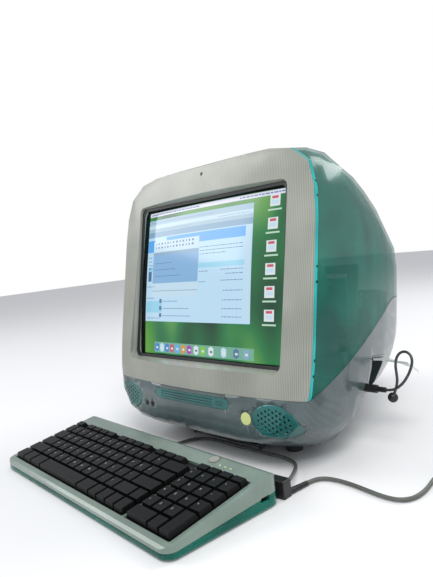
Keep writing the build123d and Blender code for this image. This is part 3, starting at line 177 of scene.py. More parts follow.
# %% [markdown]
# The world fills in the shadows with a weak bluish light. The camera, and light that passes through the
# clear shells, see a white backdrop instead: a Light Path node tells the rays apart, so the background
# is white without more light on the object.

# %% World
fill_colour = (0.93, 0.95, 1.0, 1)
fill_strength = 0.62
white = (1, 1, 1, 1)

world = bpy.data.worlds.new("studio")
bpy.context.scene.world = world
world.use_nodes = True
sky = world.node_tree
fill = sky.nodes["Background"]
fill.inputs["Color"].default_value = fill_colour
fill.inputs["Strength"].default_value = fill_strength

backdrop = sky.nodes.new("ShaderNodeBackground")
backdrop.inputs["Color"].default_value = white
rays = sky.nodes.new("ShaderNodeLightPath")
seen = sky.nodes.new("ShaderNodeMath")
seen.operation = "MAXIMUM"
sky.links.new(rays.outputs["Is Camera Ray"], seen.inputs[0])
sky.links.new(rays.outputs["Is Transmission Ray"], seen.inputs[1])
choice = sky.nodes.new("ShaderNodeMixShader")
sky.links.new(seen.outputs["Value"], choice.inputs["Fac"])
sky.links.new(fill.outputs["Background"], choice.inputs[1])
sky.links.new(backdrop.outputs["Background"], choice.inputs[2])
sky.links.new(choice.outputs["Shader"], sky.nodes["World Output"].inputs["Surface"])
bpy.context.scene.view_settings.view_transform = "Standard"
print("fill strength", fill_strength)

# %% [markdown]
# Materials. Every moulded plastic here is one recipe with its own colours: a slow noise that shifts the
# colour a little, a fine noise that gives the skin of the mould as bump, and its own gloss. One recipe
# with many colours keeps the whole set looking like plastics from one maker.

# %% Moulded plastic
shade_start = 0.35
shade_end = 0.65
drift_detail = 3
grain_height = 0.0004


def new_finish(name):
    """An empty node material and its principled shader."""
    finish = bpy.data.materials.new(name)
    finish.use_nodes = True
    return finish, finish.node_tree, finish.node_tree.nodes["Principled BSDF"]


def moulded(name, dark, light, roughness, grain=900.0, depth=0.06, drift=14.0, **sockets):
    """Moulded plastic: drifting colour between two shades and a fine grained skin."""
    finish, tree, shader = new_finish(name)
    place = tree.nodes.new("ShaderNodeTexCoord")
    slow = tree.nodes.new("ShaderNodeTexNoise")
    slow.inputs["Scale"].default_value = drift
    slow.inputs["Detail"].default_value = drift_detail
    tree.links.new(place.outputs["Object"], slow.inputs["Vector"])
    shades = tree.nodes.new("ShaderNodeValToRGB")
    shades.color_ramp.elements[0].position = shade_start
    shades.color_ramp.elements[1].position = shade_end
    shades.color_ramp.elements[0].color = (*dark, 1)
    shades.color_ramp.elements[1].color = (*light, 1)
    tree.links.new(slow.outputs["Fac"], shades.inputs["Fac"])
    tree.links.new(shades.outputs["Color"], shader.inputs["Base Color"])
    fine = tree.nodes.new("ShaderNodeTexNoise")
    fine.inputs["Scale"].default_value = grain
    tree.links.new(place.outputs["Object"], fine.inputs["Vector"])
    bump = tree.nodes.new("ShaderNodeBump")
    bump.inputs["Strength"].default_value = depth
    bump.inputs["Distance"].default_value = grain_height
    tree.links.new(fine.outputs["Fac"], bump.inputs["Height"])
    tree.links.new(bump.outputs["Normal"], shader.inputs["Normal"])
    shader.inputs["Roughness"].default_value = roughness
    for socket, value in sockets.items():
        shader.inputs[socket.replace("_", " ")].default_value = value
    return finish


# %% [markdown]
# The bezel and the shells of the case have fine upright lines under a clear skin. They could be cut as real
# grooves, but the surface over them is smooth, so a sine wave across x only darkens the colour.


# %% Striped plastic
def striped(name, dark, light, roughness, pitch, strength, **sockets):
    """Moulded plastic with fine upright stripes under its clear skin."""
    finish = moulded(name, dark, light, roughness, **sockets)
    tree = finish.node_tree
    shader = tree.nodes["Principled BSDF"]
    place = tree.nodes["Texture Coordinate"]
    split = tree.nodes.new("ShaderNodeSeparateXYZ")
    tree.links.new(place.outputs["Object"], split.inputs["Vector"])
    scaled = tree.nodes.new("ShaderNodeMath")
    scaled.operation = "MULTIPLY"
    scaled.inputs[1].default_value = 2 * pi / pitch
    tree.links.new(split.outputs["X"], scaled.inputs[0])
    wave = tree.nodes.new("ShaderNodeMath")
    wave.operation = "SINE"
    tree.links.new(scaled.outputs["Value"], wave.inputs[0])
    ramp = tree.nodes.new("ShaderNodeMapRange")
    ramp.inputs["From Min"].default_value = -1
    ramp.inputs["From Max"].default_value = 1
    ramp.inputs["To Min"].default_value = 1 - strength
    ramp.inputs["To Max"].default_value = 1
    tree.links.new(wave.outputs["Value"], ramp.inputs["Value"])
    mix = tree.nodes.new("ShaderNodeMix")
    mix.data_type = "RGBA"
    mix.blend_type = "MULTIPLY"
    mix.inputs["Factor"].default_value = 1
    shades = tree.nodes["Color Ramp"]
    tree.links.new(shades.outputs["Color"], mix.inputs["A"])
    tree.links.new(ramp.outputs["Result"], mix.inputs["B"])
    tree.links.new(mix.outputs["Result"], shader.inputs["Base Color"])
    return finish


# %% [markdown]
# A lit piece, such as the power button, has a lamp behind it. Emission stands for that lamp, and a slow
# noise keeps the light from being one flat colour.

# %% Lit plastic
glow_drift = 60
glow_dimming = 0.86
glow_gloss = 0.3


def glowing(name, colour, strength):
    """Something lit from inside."""
    finish, tree, shader = new_finish(name)
    place = tree.nodes.new("ShaderNodeTexCoord")
    noise = tree.nodes.new("ShaderNodeTexNoise")
    noise.inputs["Scale"].default_value = glow_drift
    tree.links.new(place.outputs["Object"], noise.inputs["Vector"])
    shades = tree.nodes.new("ShaderNodeValToRGB")
    shades.color_ramp.elements[0].color = (*[c * glow_dimming for c in colour], 1)
    shades.color_ramp.elements[1].color = (*colour, 1)
    tree.links.new(noise.outputs["Fac"], shades.inputs["Fac"])
    tree.links.new(shades.outputs["Color"], shader.inputs["Base Color"])
    tree.links.new(shades.outputs["Color"], shader.inputs["Emission Color"])
    shader.inputs["Emission Strength"].default_value = strength
    shader.inputs["Roughness"].default_value = glow_gloss
    return finish


# %% [markdown]
# The set's finishes, one for each material slot of the frame. Alpha makes the teal shell see-through, so
# the parts inside show softly. Glass with real refraction would bend them and render far more slowly.
# Each frame piece then gets the finish of its slot.

# %% The finishes of this set
finishes = {
    "bezel": striped("bezel_plastic", (0.31, 0.325, 0.275), (0.38, 0.395, 0.34), 0.32, 0.0024, 0.30,
                     Coat_Weight=0.35, Coat_Roughness=0.12),
    "shell": striped("teal_shell", (0.000, 0.130, 0.098), (0.000, 0.225, 0.158), 0.2, 0.0048, 0.22,
                     depth=0.0, Alpha=0.54, Specular_IOR_Level=0.35, Coat_Weight=0.12, Coat_Roughness=0.06),
    # The rim's emission is a painted glow. It paints the bright line that the clear edge shows when it
    # catches the lamps' light, though the rim holds no lamp.
    "rim_light": moulded("teal_edge_painted_glow", (0.005, 0.33, 0.32), (0.02, 0.52, 0.50), 0.2, Alpha=0.9,
                         Emission_Color=(0.02, 0.50, 0.48, 1), Emission_Strength=0.05),
    "lower": striped("frosted_lower", (0.070, 0.102, 0.106), (0.105, 0.148, 0.150), 0.26, 0.0024, 0.16,
                     Alpha=0.90, Coat_Weight=0.5, Coat_Roughness=0.08),
    "speaker": moulded("speaker_mesh", (0.002, 0.085, 0.080), (0.006, 0.150, 0.140), 0.3, Coat_Weight=0.3),
    "dark_plastic": moulded("dark_plastic", (0.010, 0.011, 0.012), (0.020, 0.021, 0.022), 0.45),
    "lit_button": glowing("lit_button", (0.56, 0.62, 0.25), 0.22),
    "tube_glass": moulded("tube_glass", (0.012, 0.016, 0.016), (0.02, 0.025, 0.025), 0.07, depth=0.0,
                          Coat_Weight=0.6),
    "steel": moulded("plated_steel", (0.34, 0.35, 0.36), (0.46, 0.47, 0.48), 0.34, grain=300, Metallic=0.9),
    "copper": moulded("yoke_copper", (0.20, 0.07, 0.03), (0.34, 0.14, 0.06), 0.4, grain=1400, depth=0.4,
                      Metallic=0.7),
    "board": moulded("circuit_board", (0.01, 0.09, 0.045), (0.02, 0.15, 0.07), 0.4, drift=120),
    "door": moulded("door_plate", (0.48, 0.52, 0.49), (0.62, 0.66, 0.62), 0.22, Coat_Weight=0.5),
    "keyboard_shell": moulded("keyboard_shell", (0.14, 0.20, 0.165), (0.20, 0.27, 0.225), 0.26, Alpha=0.96,
                              Coat_Weight=0.5, Coat_Roughness=0.1),
    "key_caps": moulded("key_caps", (0.0012, 0.0012, 0.0014), (0.003, 0.003, 0.0035), 0.42, grain=2600,
                        depth=0.25, Specular_IOR_Level=0.22),
    "rubber": moulded("rubber", (0.012, 0.012, 0.012), (0.03, 0.03, 0.03), 0.7),
    "cord": moulded("cord_grey", (0.075, 0.082, 0.07), (0.115, 0.122, 0.105), 0.42, grain=700),
    "cord_black": moulded("cord_black", (0.006, 0.006, 0.006), (0.014, 0.014, 0.014), 0.38),
    "braid": moulded("braided_lead", (0.035, 0.035, 0.035), (0.12, 0.12, 0.12), 0.34, grain=2400, depth=0.6,
                     drift=600, Metallic=0.5),
}
slots = {entry["node"]: entry["material_slot"] for entry in frame["record"]["subparts"]}
bodies = {node: body for body, nodes in frame["record"]["behaviour"]["bodies"].items() for node in nodes}
for node, piece in frame["nodes"].items():
    piece.data.materials.clear()
    piece.data.materials.append(finishes[slots[node]])
print("finishes", len(finishes))

# %% [markdown]
# The frame's meshes have sharp, faceted edges. A moulded piece has small rounded ones. Each visible piece
# is copied, its loose triangles are merged, its corners get a small bevel, and its long curves are shaded
# smooth. The copy then stands for the frame's piece.

# %% Rounding a copy of a frame piece
merge_distance = 0.00002
flat_angle = radians(0.6)
corner_angle = radians(30)
smooth_angle = radians(32)
bevel_steps = 2


def rounded_copy(node, bevel):
    """A copy of a frame piece with merged faces, smooth curves and edges rounded by bevel millimetres."""
    source = frame["nodes"][node]
    piece = bpy.data.objects.new(node + "_finished", source.data.copy())
    bpy.context.scene.collection.objects.link(piece)
    only(piece)
    bpy.ops.object.mode_set(mode="EDIT")
    bpy.ops.mesh.select_all(action="SELECT")
    bpy.ops.mesh.remove_doubles(threshold=merge_distance)
    if bevel > 0:
        bpy.ops.mesh.dissolve_limited(angle_limit=flat_angle)
    bpy.ops.object.mode_set(mode="OBJECT")
    if bevel > 0:
        rounding = piece.modifiers.new("rounding", "BEVEL")
        rounding.width = bevel * mm
        rounding.segments = bevel_steps
        rounding.limit_method = "ANGLE"
        rounding.angle_limit = corner_angle
        rounding.use_clamp_overlap = True
        bpy.ops.object.modifier_apply(modifier="rounding")
    bpy.ops.object.shade_smooth_by_angle(angle=smooth_angle)
    weighting = piece.modifiers.new("weighting", "WEIGHTED_NORMAL")
    weighting.keep_sharp = True
    bpy.ops.object.modifier_apply(modifier="weighting")
    piece.data.materials.clear()
    piece.data.materials.append(finishes[slots[node]])
    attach(piece, bodies[node])
    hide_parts(node)
    return piece


# %% [markdown]
# The leads come early. Each is one smooth line of its real length. A NURBS line rounds its control
# points by itself, so a few given points give a curve without kinks. The order is set after the points,
# because a line with fewer points can't hold it.

# %% A lead and its length
run_steps = 6
round_steps = 5


def lead(name, points, radius, finish):
    """A round lead along one smooth line through the given control points, in millimetres."""
    line = bpy.data.curves.new(name, "CURVE")
    line.dimensions = "3D"
    spline = line.splines.new("NURBS")
    spline.points.add(len(points) - 1)
    for point, place in zip(spline.points, points):
        point.co = (*(Vector(place) * mm), 1)
    spline.order_u = 3
    spline.use_endpoint_u = True
    spline.resolution_u = run_steps
    line.bevel_depth = radius * mm
    line.bevel_resolution = round_steps
    line.use_fill_caps = True
    line.materials.append(finish)
    piece = bpy.data.objects.new(name, line)
    bpy.context.scene.collection.objects.link(piece)
    return piece


def line_length(piece):
    """The length of a lead's own middle line, in metres."""
    bare = piece.data.copy()
    bare.bevel_depth = 0
    holder = bpy.data.objects.new("bare", bare)
    bpy.context.scene.collection.objects.link(holder)
    mesh = bpy.data.meshes.new_from_object(holder.evaluated_get(bpy.context.evaluated_depsgraph_get()))
    ends = [edge.vertices for edge in mesh.edges]
    total = sum((mesh.vertices[a].co - mesh.vertices[b].co).length for a, b in ends)
    bpy.data.objects.remove(holder)
    return total


# %% [markdown]
# The keyboard's lead leaves the back of the keyboard, runs along the computer's foot and rises into the
# black socket block.

# %% Keyboard lead
lead_radius = 2.25
table_gap = 0.1
table_height = lead_radius + table_gap
keyboard_route = [
    (-57.32, -152.26, 10), (-56.6, -138.3, 9), (-58.1, -119, 5.2), (-59.9, -103, table_height),
    (-57.5, -88, table_height), (-48.5, -75.5, table_height), (-31.5, -69.3, table_height),
    (-7.5, -68.5, table_height), (18.5, -70.6, table_height), (46.5, -68.8, table_height),
    (74.5, -70.4, table_height), (98.5, -68.8, table_height), (117.5, -71, table_height),
    (133.5, -80, 3.6), (146, -95, 6.2), (156.5, -111, 9.6), (166, -126, 13), (173.5, -139.5, 15),
    (175.9, -147.2, 15.6),
]
keyboard_lead = lead("keyboard_lead", keyboard_route, lead_radius, finishes["cord"])
print("keyboard lead", round(line_length(keyboard_lead), 4), "m")

# %% [markdown]
# The extension lead runs from the block's boot along the desk and winds into a flat coil. The coil's points
# are worked out in a loop: each turn's radius and height drift from a first value to a last one.

# %% Turns of a coil
coil_centre = Vector((315, 14))
turn_points = 18


def coil_turns(first, last, height_first, height_last, start, turns):
    """Points on clockwise turns whose radius and height drift from the first values to the last."""
    count = round(turns * turn_points)
    points = []
    for i in range(count + 1):
        share = i / count
        angle = radians(start - 360 * turns * share)
        reach = first + (last - first) * share
        place = coil_centre + Vector((cos(angle), sin(angle))) * reach
        points.append((place.x, place.y, height_first + (height_last - height_first) * share))
    return points


# %% [markdown]
# The turns lie side by side in two layers: the first layer winds inwards, a short stretch climbs, and the
# second layer winds out again on top. The last points carry the lead over the coil to its plug.

# %% Extension lead with its coil
outer_turn = 29.75
inner_turn = 20.75
layer_turns = 2
climb_turns = 0.375
layer_height = 6.9
coil_side = 207
first_step = 12
coil_angle = coil_side - first_step
climb_end = coil_angle - 360 * climb_turns

extension_route = [
    (177.8, -115.5, 2.9), (178.1, -104.5, table_height), (183.5, -95.5, table_height),
    (194.5, -91, table_height), (208.5, -90.2, table_height), (225.5, -91.8, table_height),
    (245.5, -95.6, table_height), (264.5, -98.8, table_height), (279.5, -97.6, table_height),
    (289, -89, table_height), (292.5, -75, table_height), (291.9, -57, table_height),
    (288.5, -38, table_height), (285.9, -19, table_height), (285.0, -6, table_height),
]
extension_route += coil_turns(outer_turn, inner_turn, table_height, table_height, coil_angle, layer_turns)
extension_route += coil_turns(inner_turn, inner_turn, table_height, layer_height, coil_angle,
                              climb_turns)[1:]
extension_route += coil_turns(inner_turn, outer_turn, layer_height, layer_height, climb_end,
                              layer_turns)[1:]
extension_route += [
    (341, 31.5, 8), (348.2, 21, 9.6), (349.8, 10, 11.2), (346.5, 0.5, 12.4), (340, -6.2, 13.1),
    (332, -8, 13.3),
]
extension_lead = lead("extension_lead", extension_route, lead_radius, finishes["cord"])
print("extension lead", round(line_length(extension_lead), 4), "m")

# %% [markdown]
# The short stiff lead in the side port has a braided cover and ends in a round head. It makes one loop. Its
# points are given on the leaning face, because the port leans with the case.

# %% Short lead in the port
short_lead_radius = 1.7
short_route = [
    (212, -139, 128.5), (220, -138.4, 127.9), (228.2, -135, 127), (235.6, -128.8, 126.4),
    (241.6, -120.6, 126), (246, -111, 126), (248.2, -101, 126.8), (245.4, -92.6, 128.2),
    (237.6, -88.4, 129.8), (229.2, -90.4, 131.2), (223.6, -97.4, 132.4), (222.2, -106.8, 133),
    (223.4, -116, 133.4), (225, -125, 133.4), (224.2, -133.8, 133.2), (221.8, -142, 132.4),
]
short_points = [tuple(on_face(*place) / mm) for place in short_route]
short_lead = lead("short_lead", short_points, short_lead_radius, finishes["braid"])
print("short lead", round(line_length(short_lead), 4), "m")

# %% [markdown]
# Turned pieces, such as a boot with ribs, are made from a flat grid that is wrapped round an axis. Each
# row of the grid takes its radius from a profile, and the seam is merged at the end. The spin tool could
# make the same form, but a wrapped grid needs no cursor or view and closes its ends by itself.

# %% Turned pieces
turned_sides = 40
seam_merge = 0.000005
turned_smooth_angle = radians(40)


def turned(name, profile, start, axis, finish):
    """A closed turned piece: profile lists (distance along the axis, radius) in millimetres."""
    deselect()
    bpy.ops.mesh.primitive_grid_add(x_subdivisions=turned_sides, y_subdivisions=len(profile) - 1, size=1)
    piece = bpy.context.active_object
    piece.name = name
    axis = Vector(axis).normalized()
    side = axis.orthogonal().normalized()
    other = axis.cross(side)
    for vertex in piece.data.vertices:
        along, radius = profile[round((vertex.co.y + 0.5) * (len(profile) - 1))]
        angle = 2 * pi * (vertex.co.x + 0.5)
        around = side * cos(angle) + other * sin(angle)
        vertex.co = (Vector(start) + axis * along + around * radius) * mm
    only(piece)
    bpy.ops.object.mode_set(mode="EDIT")
    bpy.ops.mesh.select_all(action="SELECT")
    bpy.ops.mesh.remove_doubles(threshold=seam_merge)
    bpy.ops.mesh.normals_make_consistent(inside=False)
    bpy.ops.object.mode_set(mode="OBJECT")
    bpy.ops.object.shade_smooth_by_angle(angle=turned_smooth_angle)
    piece.data.materials.append(finish)
    return piece


# %% [markdown]
# A boot and a gland keep a lead from kinking where it leaves its block or its keyboard. Grooves between
# their ribs let them bend. Each is turned from a ribbed profile that tapers towards the lead.

# %% Boot and gland
rib_share = 0.55


def ribbed(length, first, last, ribs, groove):
    """A profile that tapers from the first radius to the last with square grooves between its ribs."""
    profile = [(0, 0), (0, first)]
    for i in range(ribs):
        near, far = (i + rib_share) / ribs, (i + 1) / ribs
        wide = first + (last - first) * near
        thin = first + (last - first) * far
        if i < ribs - 1:
            profile += [(near * length, wide), (near * length, wide - groove), (far * length, thin - groove),
                        (far * length, thin)]
    return profile + [(length, last), (length, 0)]


boot_start = Vector((175.61, -144.59, 3.6))
boot_end = Vector((177.8, -115.5, 2.9))
boot_axis = boot_end - boot_start
boot_profile = ribbed(boot_axis.length, first=3.4, last=2.7, ribs=8, groove=0.35)
boot = turned("cord_boot_ribbed", boot_profile, boot_start, boot_axis, finishes["cord_black"])

gland_length = 8
gland_start = Vector(keyboard_route[0]) + Vector((0.005, 0.1, 0))
gland_axis = Vector((0.0488, 0.9988, 0))
gland_profile = ribbed(gland_length, first=4.1, last=3.4, ribs=4, groove=0.5)
gland = turned("cord_gland_ribbed", gland_profile, gland_start, gland_axis, finishes["rubber"])
print("turned pieces", boot.name, gland.name)

# %% [markdown]
# Moulded pieces. The large shells keep their long smooth curves and only need smooth shading, so their
# bevel is zero. The small pieces get rounded edges that catch the light. Each number is the width of that
# piece's rounding in millimetres.

# %% Moulded pieces
moulded_pieces = {
    "front_bezel": 0.5, "microphone": 0.2, "light_rim": 0.25, "handle_recess": 0, "carry_handle": 1.2,
    "upper_shell": 0, "port_recess": 0.3, "lower_case": 0, "front_foot": 0.8, "case_feet": 0.6,
    "tray_front": 0.3, "eject_button": 0.3, "speaker_grille_left": 0, "speaker_grille_right": 0,
    "power_button": 0.5, "screen_mask": 0.4, "port_door": 0.5, "power_inlet": 0.3, "keyboard_base": 0.5,
    "keyboard_prop": 0.5, "keyboard_feet": 0.3, "keyboard_frame": 0.5, "keyboard_power_key": 0.3,
    "indicator_lights": 0.2, "usb_block": 0.8, "usb_plug": 0.5, "lead_plug": 0.4, "lead_head": 0,
    "arrow_keys": 0.6, "enter_key": 0.6, "space_bar": 0.6, "keys_bottom_row": 0.6, "keys_lower_row": 0.6,
    "keys_home_row": 0.6, "keys_upper_row": 0.6, "keys_number_row": 0.6, "keys_function_row": 0.6,
}
finished = {node: rounded_copy(node, bevel) for node, bevel in moulded_pieces.items()}
for node, piece in finished.items():
    print(node, "faces", len(piece.data.polygons))

# %% [markdown]
# The picture on the tube glows, so its colours are emission on a nearly black base. The wallpaper is
# blurred green leaves, made by a slow noise that is stretched along the face.

# %% Picture colours
picture_strength = 0.85
picture_gloss = 0.12
picture_base = (0.01, 0.01, 0.01, 1)


def picture_finish(name, colour):
    """A lit part of the picture."""
    finish, _, shader = new_finish(name)
    shader.inputs["Base Color"].default_value = picture_base
    shader.inputs["Emission Color"].default_value = (*colour, 1)
    shader.inputs["Emission Strength"].default_value = picture_strength
    shader.inputs["Roughness"].default_value = picture_gloss
    return finish


def wallpaper_finish():
    """Blurred green leaves: a slow noise that drifts through dark, mid and bright greens."""
    finish = picture_finish("picture_wallpaper", (0.05, 0.25, 0.06))
    tree = finish.node_tree
    place = tree.nodes.new("ShaderNodeTexCoord")
    stretch = tree.nodes.new("ShaderNodeMapping")
    stretch.inputs["Scale"].default_value = (1.0, 0.6, 0.6)
    tree.links.new(place.outputs["Object"], stretch.inputs["Vector"])
    leaves = tree.nodes.new("ShaderNodeTexNoise")
    leaves.inputs["Scale"].default_value = 11
    leaves.inputs["Detail"].default_value = 1
    tree.links.new(stretch.outputs["Vector"], leaves.inputs["Vector"])
    greens = tree.nodes.new("ShaderNodeValToRGB")
    stops = greens.color_ramp.elements
    stops[0].position, stops[0].color = 0.30, (0.004, 0.055, 0.025, 1)
    stops[1].position, stops[1].color = 0.72, (0.21, 0.50, 0.09, 1)
    middle = stops.new(0.48)
    middle.color = (0.018, 0.215, 0.060, 1)
    tree.links.new(leaves.outputs["Fac"], greens.inputs["Fac"])
    tree.links.new(greens.outputs["Color"], tree.nodes["Principled BSDF"].inputs["Emission Color"])
    return finish


picture_tints = {
    "menu": (0.80, 0.80, 0.98), "window": (0.55, 0.80, 1.0), "toolbar": (0.42, 0.60, 0.74),
    "strip": (0.60, 0.80, 0.95), "sky": (0.12, 0.45, 0.95), "pale_sky": (0.34, 0.72, 0.92),
    "panel": (0.25, 0.48, 0.78), "ink": (0.10, 0.20, 0.36), "soft_ink": (0.26, 0.44, 0.62),
    "sheet": (0.78, 0.86, 0.88), "red": (0.62, 0.10, 0.16), "caption": (0.55, 0.78, 0.62),
    "dock": (0.18, 0.46, 0.33), "blue": (0.05, 0.25, 0.75), "violet": (0.42, 0.05, 0.50),
    "orange": (0.75, 0.32, 0.05), "leaf": (0.22, 0.60, 0.05),
}
picture_colours = {"wallpaper": wallpaper_finish()}
for tint, colour in picture_tints.items():
    picture_colours[tint] = picture_finish("picture_" + tint, colour)
print("picture colours", len(picture_colours))

# %% [markdown]
# The picture is built from thin curved plates that lie just in front of the glass. Each plate is a flat
# grid whose points are moved onto the bulge of the tube. An image on the glass would need a file, and
# plates stay sharp from any distance.

# %% One curved plate of the picture
tube_front = 5
tube_face_radius = 2200
layer_step = 0.12
plate_cell = 8


def picture_plate(left, right, low, high, layer, colour):
    """A thin curved plate of one colour, a given number of layers in front of the glass."""
    deselect()
    across_cuts = max(1, round((right - left) / plate_cell))
    up_cuts = max(1, round((high - low) / plate_cell))
    bpy.ops.mesh.primitive_grid_add(x_subdivisions=across_cuts, y_subdivisions=up_cuts, size=1)
    plate = bpy.context.active_object
    for vertex in plate.data.vertices:
        x = left + (vertex.co.x + 0.5) * (right - left)
        height = low + (vertex.co.y + 0.5) * (high - low)
        bulge = (x * x + height * height) / (2 * tube_face_radius)
        vertex.co = on_face(x, height, tube_front + bulge - layer_step * layer)
    plate.data.materials.append(picture_colours[colour])
    return plate


# %% [markdown]
# The plan of the picture lists each plate as left, right, low and high on the face in millimetres, then
# its layer and its colour. Two windows lie on the wallpaper, and a column of icons stands beside them.

# %% Windows and icons
picture_half_width = 144.6
picture_low = -111.2
picture_high = 111.2
window_right = 86
front_left = -127.5
front_right = -16.5

picture_plan = [
    (-picture_half_width, picture_half_width, picture_low, picture_high, 1, "wallpaper"),
    (-picture_half_width, picture_half_width, 104.4, 110.6, 2, "menu"),
    (-picture_half_width, window_right, -61.5, 98.5, 2, "window"),
    (-picture_half_width, window_right, 79, 98.5, 3, "toolbar"),
    (-picture_half_width, window_right, 84.5, 90.5, 4, "strip"),
    (-picture_half_width, window_right, 70.5, 79, 3, "soft_ink"),
    (-95, 74, 55, 69, 3, "sky"),
    (-140, 74, 16.6, 23.8, 3, "pale_sky"),
    (76, 82.5, -58, 70, 3, "strip"),
    (-144, -125, 47, 66, 3, "sky"),
    (-140, -131, 1, 22, 3, "ink"),
    (-143, -100, -48, -30, 3, "pale_sky"),
    (front_left, front_right, -23.5, 63.5, 4, "strip"),
    (front_left, front_right, 41, 46, 5, "soft_ink"),
    (front_left, front_right, -2.5, 41, 5, "panel"),
    (front_left, front_right, -15, -14, 5, "soft_ink"),
]
icon_places = [(121, 97), (119, 67.5), (118, 38.3), (117.5, 9), (117, -20.2), (117, -50)]
for x, height in icon_places:
    picture_plan += [
        (x - 8, x + 8, height - 7.5, height + 7.5, 2, "sheet"),
        (x - 5, x + 5, height + 2.5, height + 6, 3, "red"),
        (x - 5.5, x + 5.5, height - 4.5, height + 0.5, 3, "strip"),
        (x - 11, x + 11, height - 13, height - 10.8, 2, "caption"),
    ]
print("picture plates", len(picture_plan))

# %% [markdown]
# Rows of writing are too small to read on such a screen, so each line is a row of short dark dashes of
# uneven length. Each list gives the left end, the right end and the height of its lines.

# %% Lines of writing
title_lines = [(-138, -60, 94), (-60, 10, 93.5), (-120, -40, 81.5), (20, 80, 86.5)]
page_lines = [
    (-14, 70, 46), (-14, 72, 41), (-14, 40, 36), (-14, 5, 11), (30, 72, 12), (40, 72, 6), (-14, 0, -4),
    (30, 72, -3), (36, 72, -17), (34, 72, -30), (-98, -60, -31), (34, 72, -42), (-98, -35, -42),
    (34, 72, -53), (-98, -30, -53), (-142, -130, 38), (-142, -130, 32), (-142, -128, 26),
    (-142, -120, -8), (-142, -120, -26), (-140, -105, -57),
]
menu_height = 106.6


def writing(left, right, height, layer, colour, dash=5.5, gap=1.4, thick=0.9):
    """Dashes of uneven length between two edges, like a line of small writing."""
    x = left
    i = 0
    while x < right:
        long = dash * (0.6 + 0.35 * ((i * 7) % 5) / 2)
        picture_plan.append((x, min(x + long, right), height, height + thick, layer, colour))
        x += long + gap
        i += 1


writing(-140, -20, menu_height, 3, "ink", thick=1.6)
writing(60, 140, menu_height, 3, "ink", thick=1.6)
for left, right, height in title_lines:
    writing(left, right, height, 5, "soft_ink")
for left, right, height in page_lines:
    writing(left, right, height, 4, "ink")
for height in (58, 52):
    writing(-122, -24, height, 5, "ink", dash=3.2, gap=4.5, thick=2.8)
for height in (28, 18, 8):
    writing(-122, -50 - height, height, 6, "ink")
for height in (-33, -44, -55):
    picture_plan.append((-107, -101, height, height + 6, 4, "ink"))
print("plates with the writing", len(picture_plan))

# %% [markdown]
# A row of small plain signs stands along the foot of the picture. Then every plate is made, and all of them
# are joined into one piece, because a piece for each of some hundred plates would only be harder to use.

# %% The dock and the whole picture
dock_left, dock_right = -118, 93
dock_low, dock_high = -109, -93
picture_plan.append((dock_left, dock_right, dock_low, dock_high, 2, "dock"))
dock_icons = ["blue", "strip", "blue", "red", "sky", "orange", "violet", "sheet", "leaf", "sheet", "strip",
              "ink", "soft_ink"]
dock_places = [-111, -98, -85, -73, -60, -46, -32, -17, -3, 14, 39, 62, 80]
for x, colour in zip(dock_places, dock_icons):
    picture_plan += [
        (x - 5, x + 5, dock_low + 3, dock_high - 3, 3, colour),
        (x - 2.2, x + 2.2, dock_low + 1.5, dock_high - 1.5, 4, colour),
        (x - 1.5, x + 3, dock_low + 6, dock_low + 9, 5, "sheet" if colour != "sheet" else "ink"),
    ]

picture = join_pieces([picture_plate(*entry) for entry in picture_plan], "screen_picture")
bpy.ops.object.shade_smooth()
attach(picture, "root")
print("picture faces", len(picture.data.polygons))

# %% [markdown]
# The keyboard lies on the desk at a slight turn, and its keys slope up towards the back. A point on the keys
# is given by how far it lies across the keyboard, back along the slope, and above it.

# %% Where the keys lie
key_pitch = 19.05
deck_tilt = radians(9)
desk_turn = radians(-2.8)
desk_origin = Vector((-204, -285.5, 0))
deck_front_height = 11
key_top = 10.0
desk_across = Vector((cos(desk_turn), sin(desk_turn), 0))
desk_back = Vector((-sin(desk_turn), cos(desk_turn), 0))
deck_up = Vector((0, 0, 1)) * cos(deck_tilt) - desk_back * sin(deck_tilt)
deck_back = desk_back * cos(deck_tilt) + Vector((0, 0, 1)) * sin(deck_tilt)


def on_deck(across, back, height):
    """A point in metres on the sloping key plane, given in millimetres."""
    start = desk_origin + Vector((0, 0, deck_front_height))
    return (start + desk_across * across + deck_back * back + deck_up * height) * mm


print("first key at", [round(v, 3) for v in on_deck(0, 0, key_top)])

# %% [markdown]
# Key tops carry a plain pale letter or sign each. A letter is a flat text shape that is made a mesh, laid
# just above its key's top and joined with the others of its row, so it moves with that row's keys. Each row
# is given by its signs, the key that it starts at and its line.

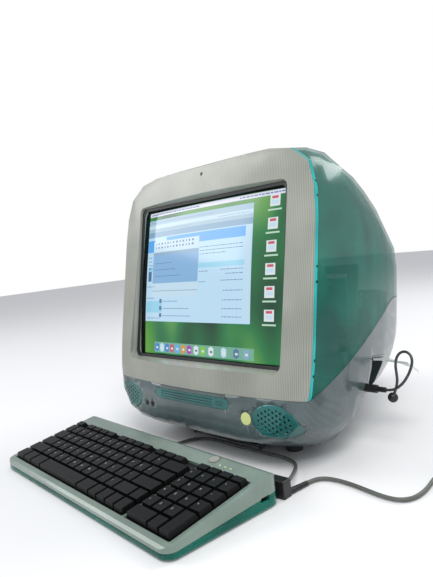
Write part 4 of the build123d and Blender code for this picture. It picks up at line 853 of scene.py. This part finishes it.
# %% Letters on the keys
legend_rows = {
    "keys_number_row": ("`1234567890-=", 0, 4), "keys_upper_row": ("QWERTYUIOP[]", 1.5, 3),
    "keys_home_row": ("ASDFGHJKL;'", 1.75, 2), "keys_lower_row": ("ZXCVBNM,./", 2.25, 1),
}
pad_signs = {
    "keys_number_row": "c=/*", "keys_upper_row": "789-", "keys_home_row": "456+", "keys_lower_row": "123",
}
pad_left = 292
letter_inset = 4.6
letter_line = 9.2
letter_lift = 0.06
legend_size = 4.2
legend_finish = moulded("key_letters", (0.55, 0.56, 0.54), (0.66, 0.67, 0.65), 0.5)


def legend(sign, across, back):
    """One flat letter on a key's top, as a mesh with its place in its points."""
    deselect()
    bpy.ops.object.text_add(location=(0, 0, 0))
    text = bpy.context.active_object
    text.data.body = sign
    text.data.size = legend_size * mm
    text.data.resolution_u = 2
    bpy.ops.object.convert(target="MESH")
    mesh = text.data
    for vertex in mesh.vertices:
        spot = vertex.co / mm
        vertex.co = on_deck(across + spot.x, back + spot.y, key_top + letter_lift)
    return text


for row, (signs, first, line) in legend_rows.items():
    letters = []
    for i, sign in enumerate(signs):
        letters.append(legend(sign, (first + i) * key_pitch + letter_inset, line * key_pitch + letter_line))
    for i, sign in enumerate(pad_signs[row]):
        letters.append(legend(sign, pad_left + i * key_pitch + letter_inset, line * key_pitch + letter_line))
    joined = join_pieces(letters, row + "_letters")
    joined.data.materials.clear()
    joined.data.materials.append(legend_finish)
    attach(joined, bodies[row])
    print(joined.name, len(joined.data.polygons))

# %% [markdown]
# The plug of the extension lead has a grip and a bare metal shell. One mesh can hold two finishes, so the
# faces on the shell's side of the grip's edge get the second one.

# %% The plug's metal shell
grip_edge = 0.306
plug = finished["usb_plug"]
plug.data.materials.append(finishes["steel"])
for face in plug.data.polygons:
    if face.center.x < grip_edge:
        face.material_index = 1
print("metal faces", sum(face.material_index for face in plug.data.polygons))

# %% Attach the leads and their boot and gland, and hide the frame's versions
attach(keyboard_lead, "root")
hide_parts("keyboard_cord")
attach(gland, "root")
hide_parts("cord_gland")

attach(extension_lead, "root")
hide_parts("extension_cord", "extension_coil")
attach(boot, "root")
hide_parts("cord_boot")

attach(short_lead, "root")
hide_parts("port_lead")
print("leads", keyboard_lead.name, extension_lead.name, short_lead.name)
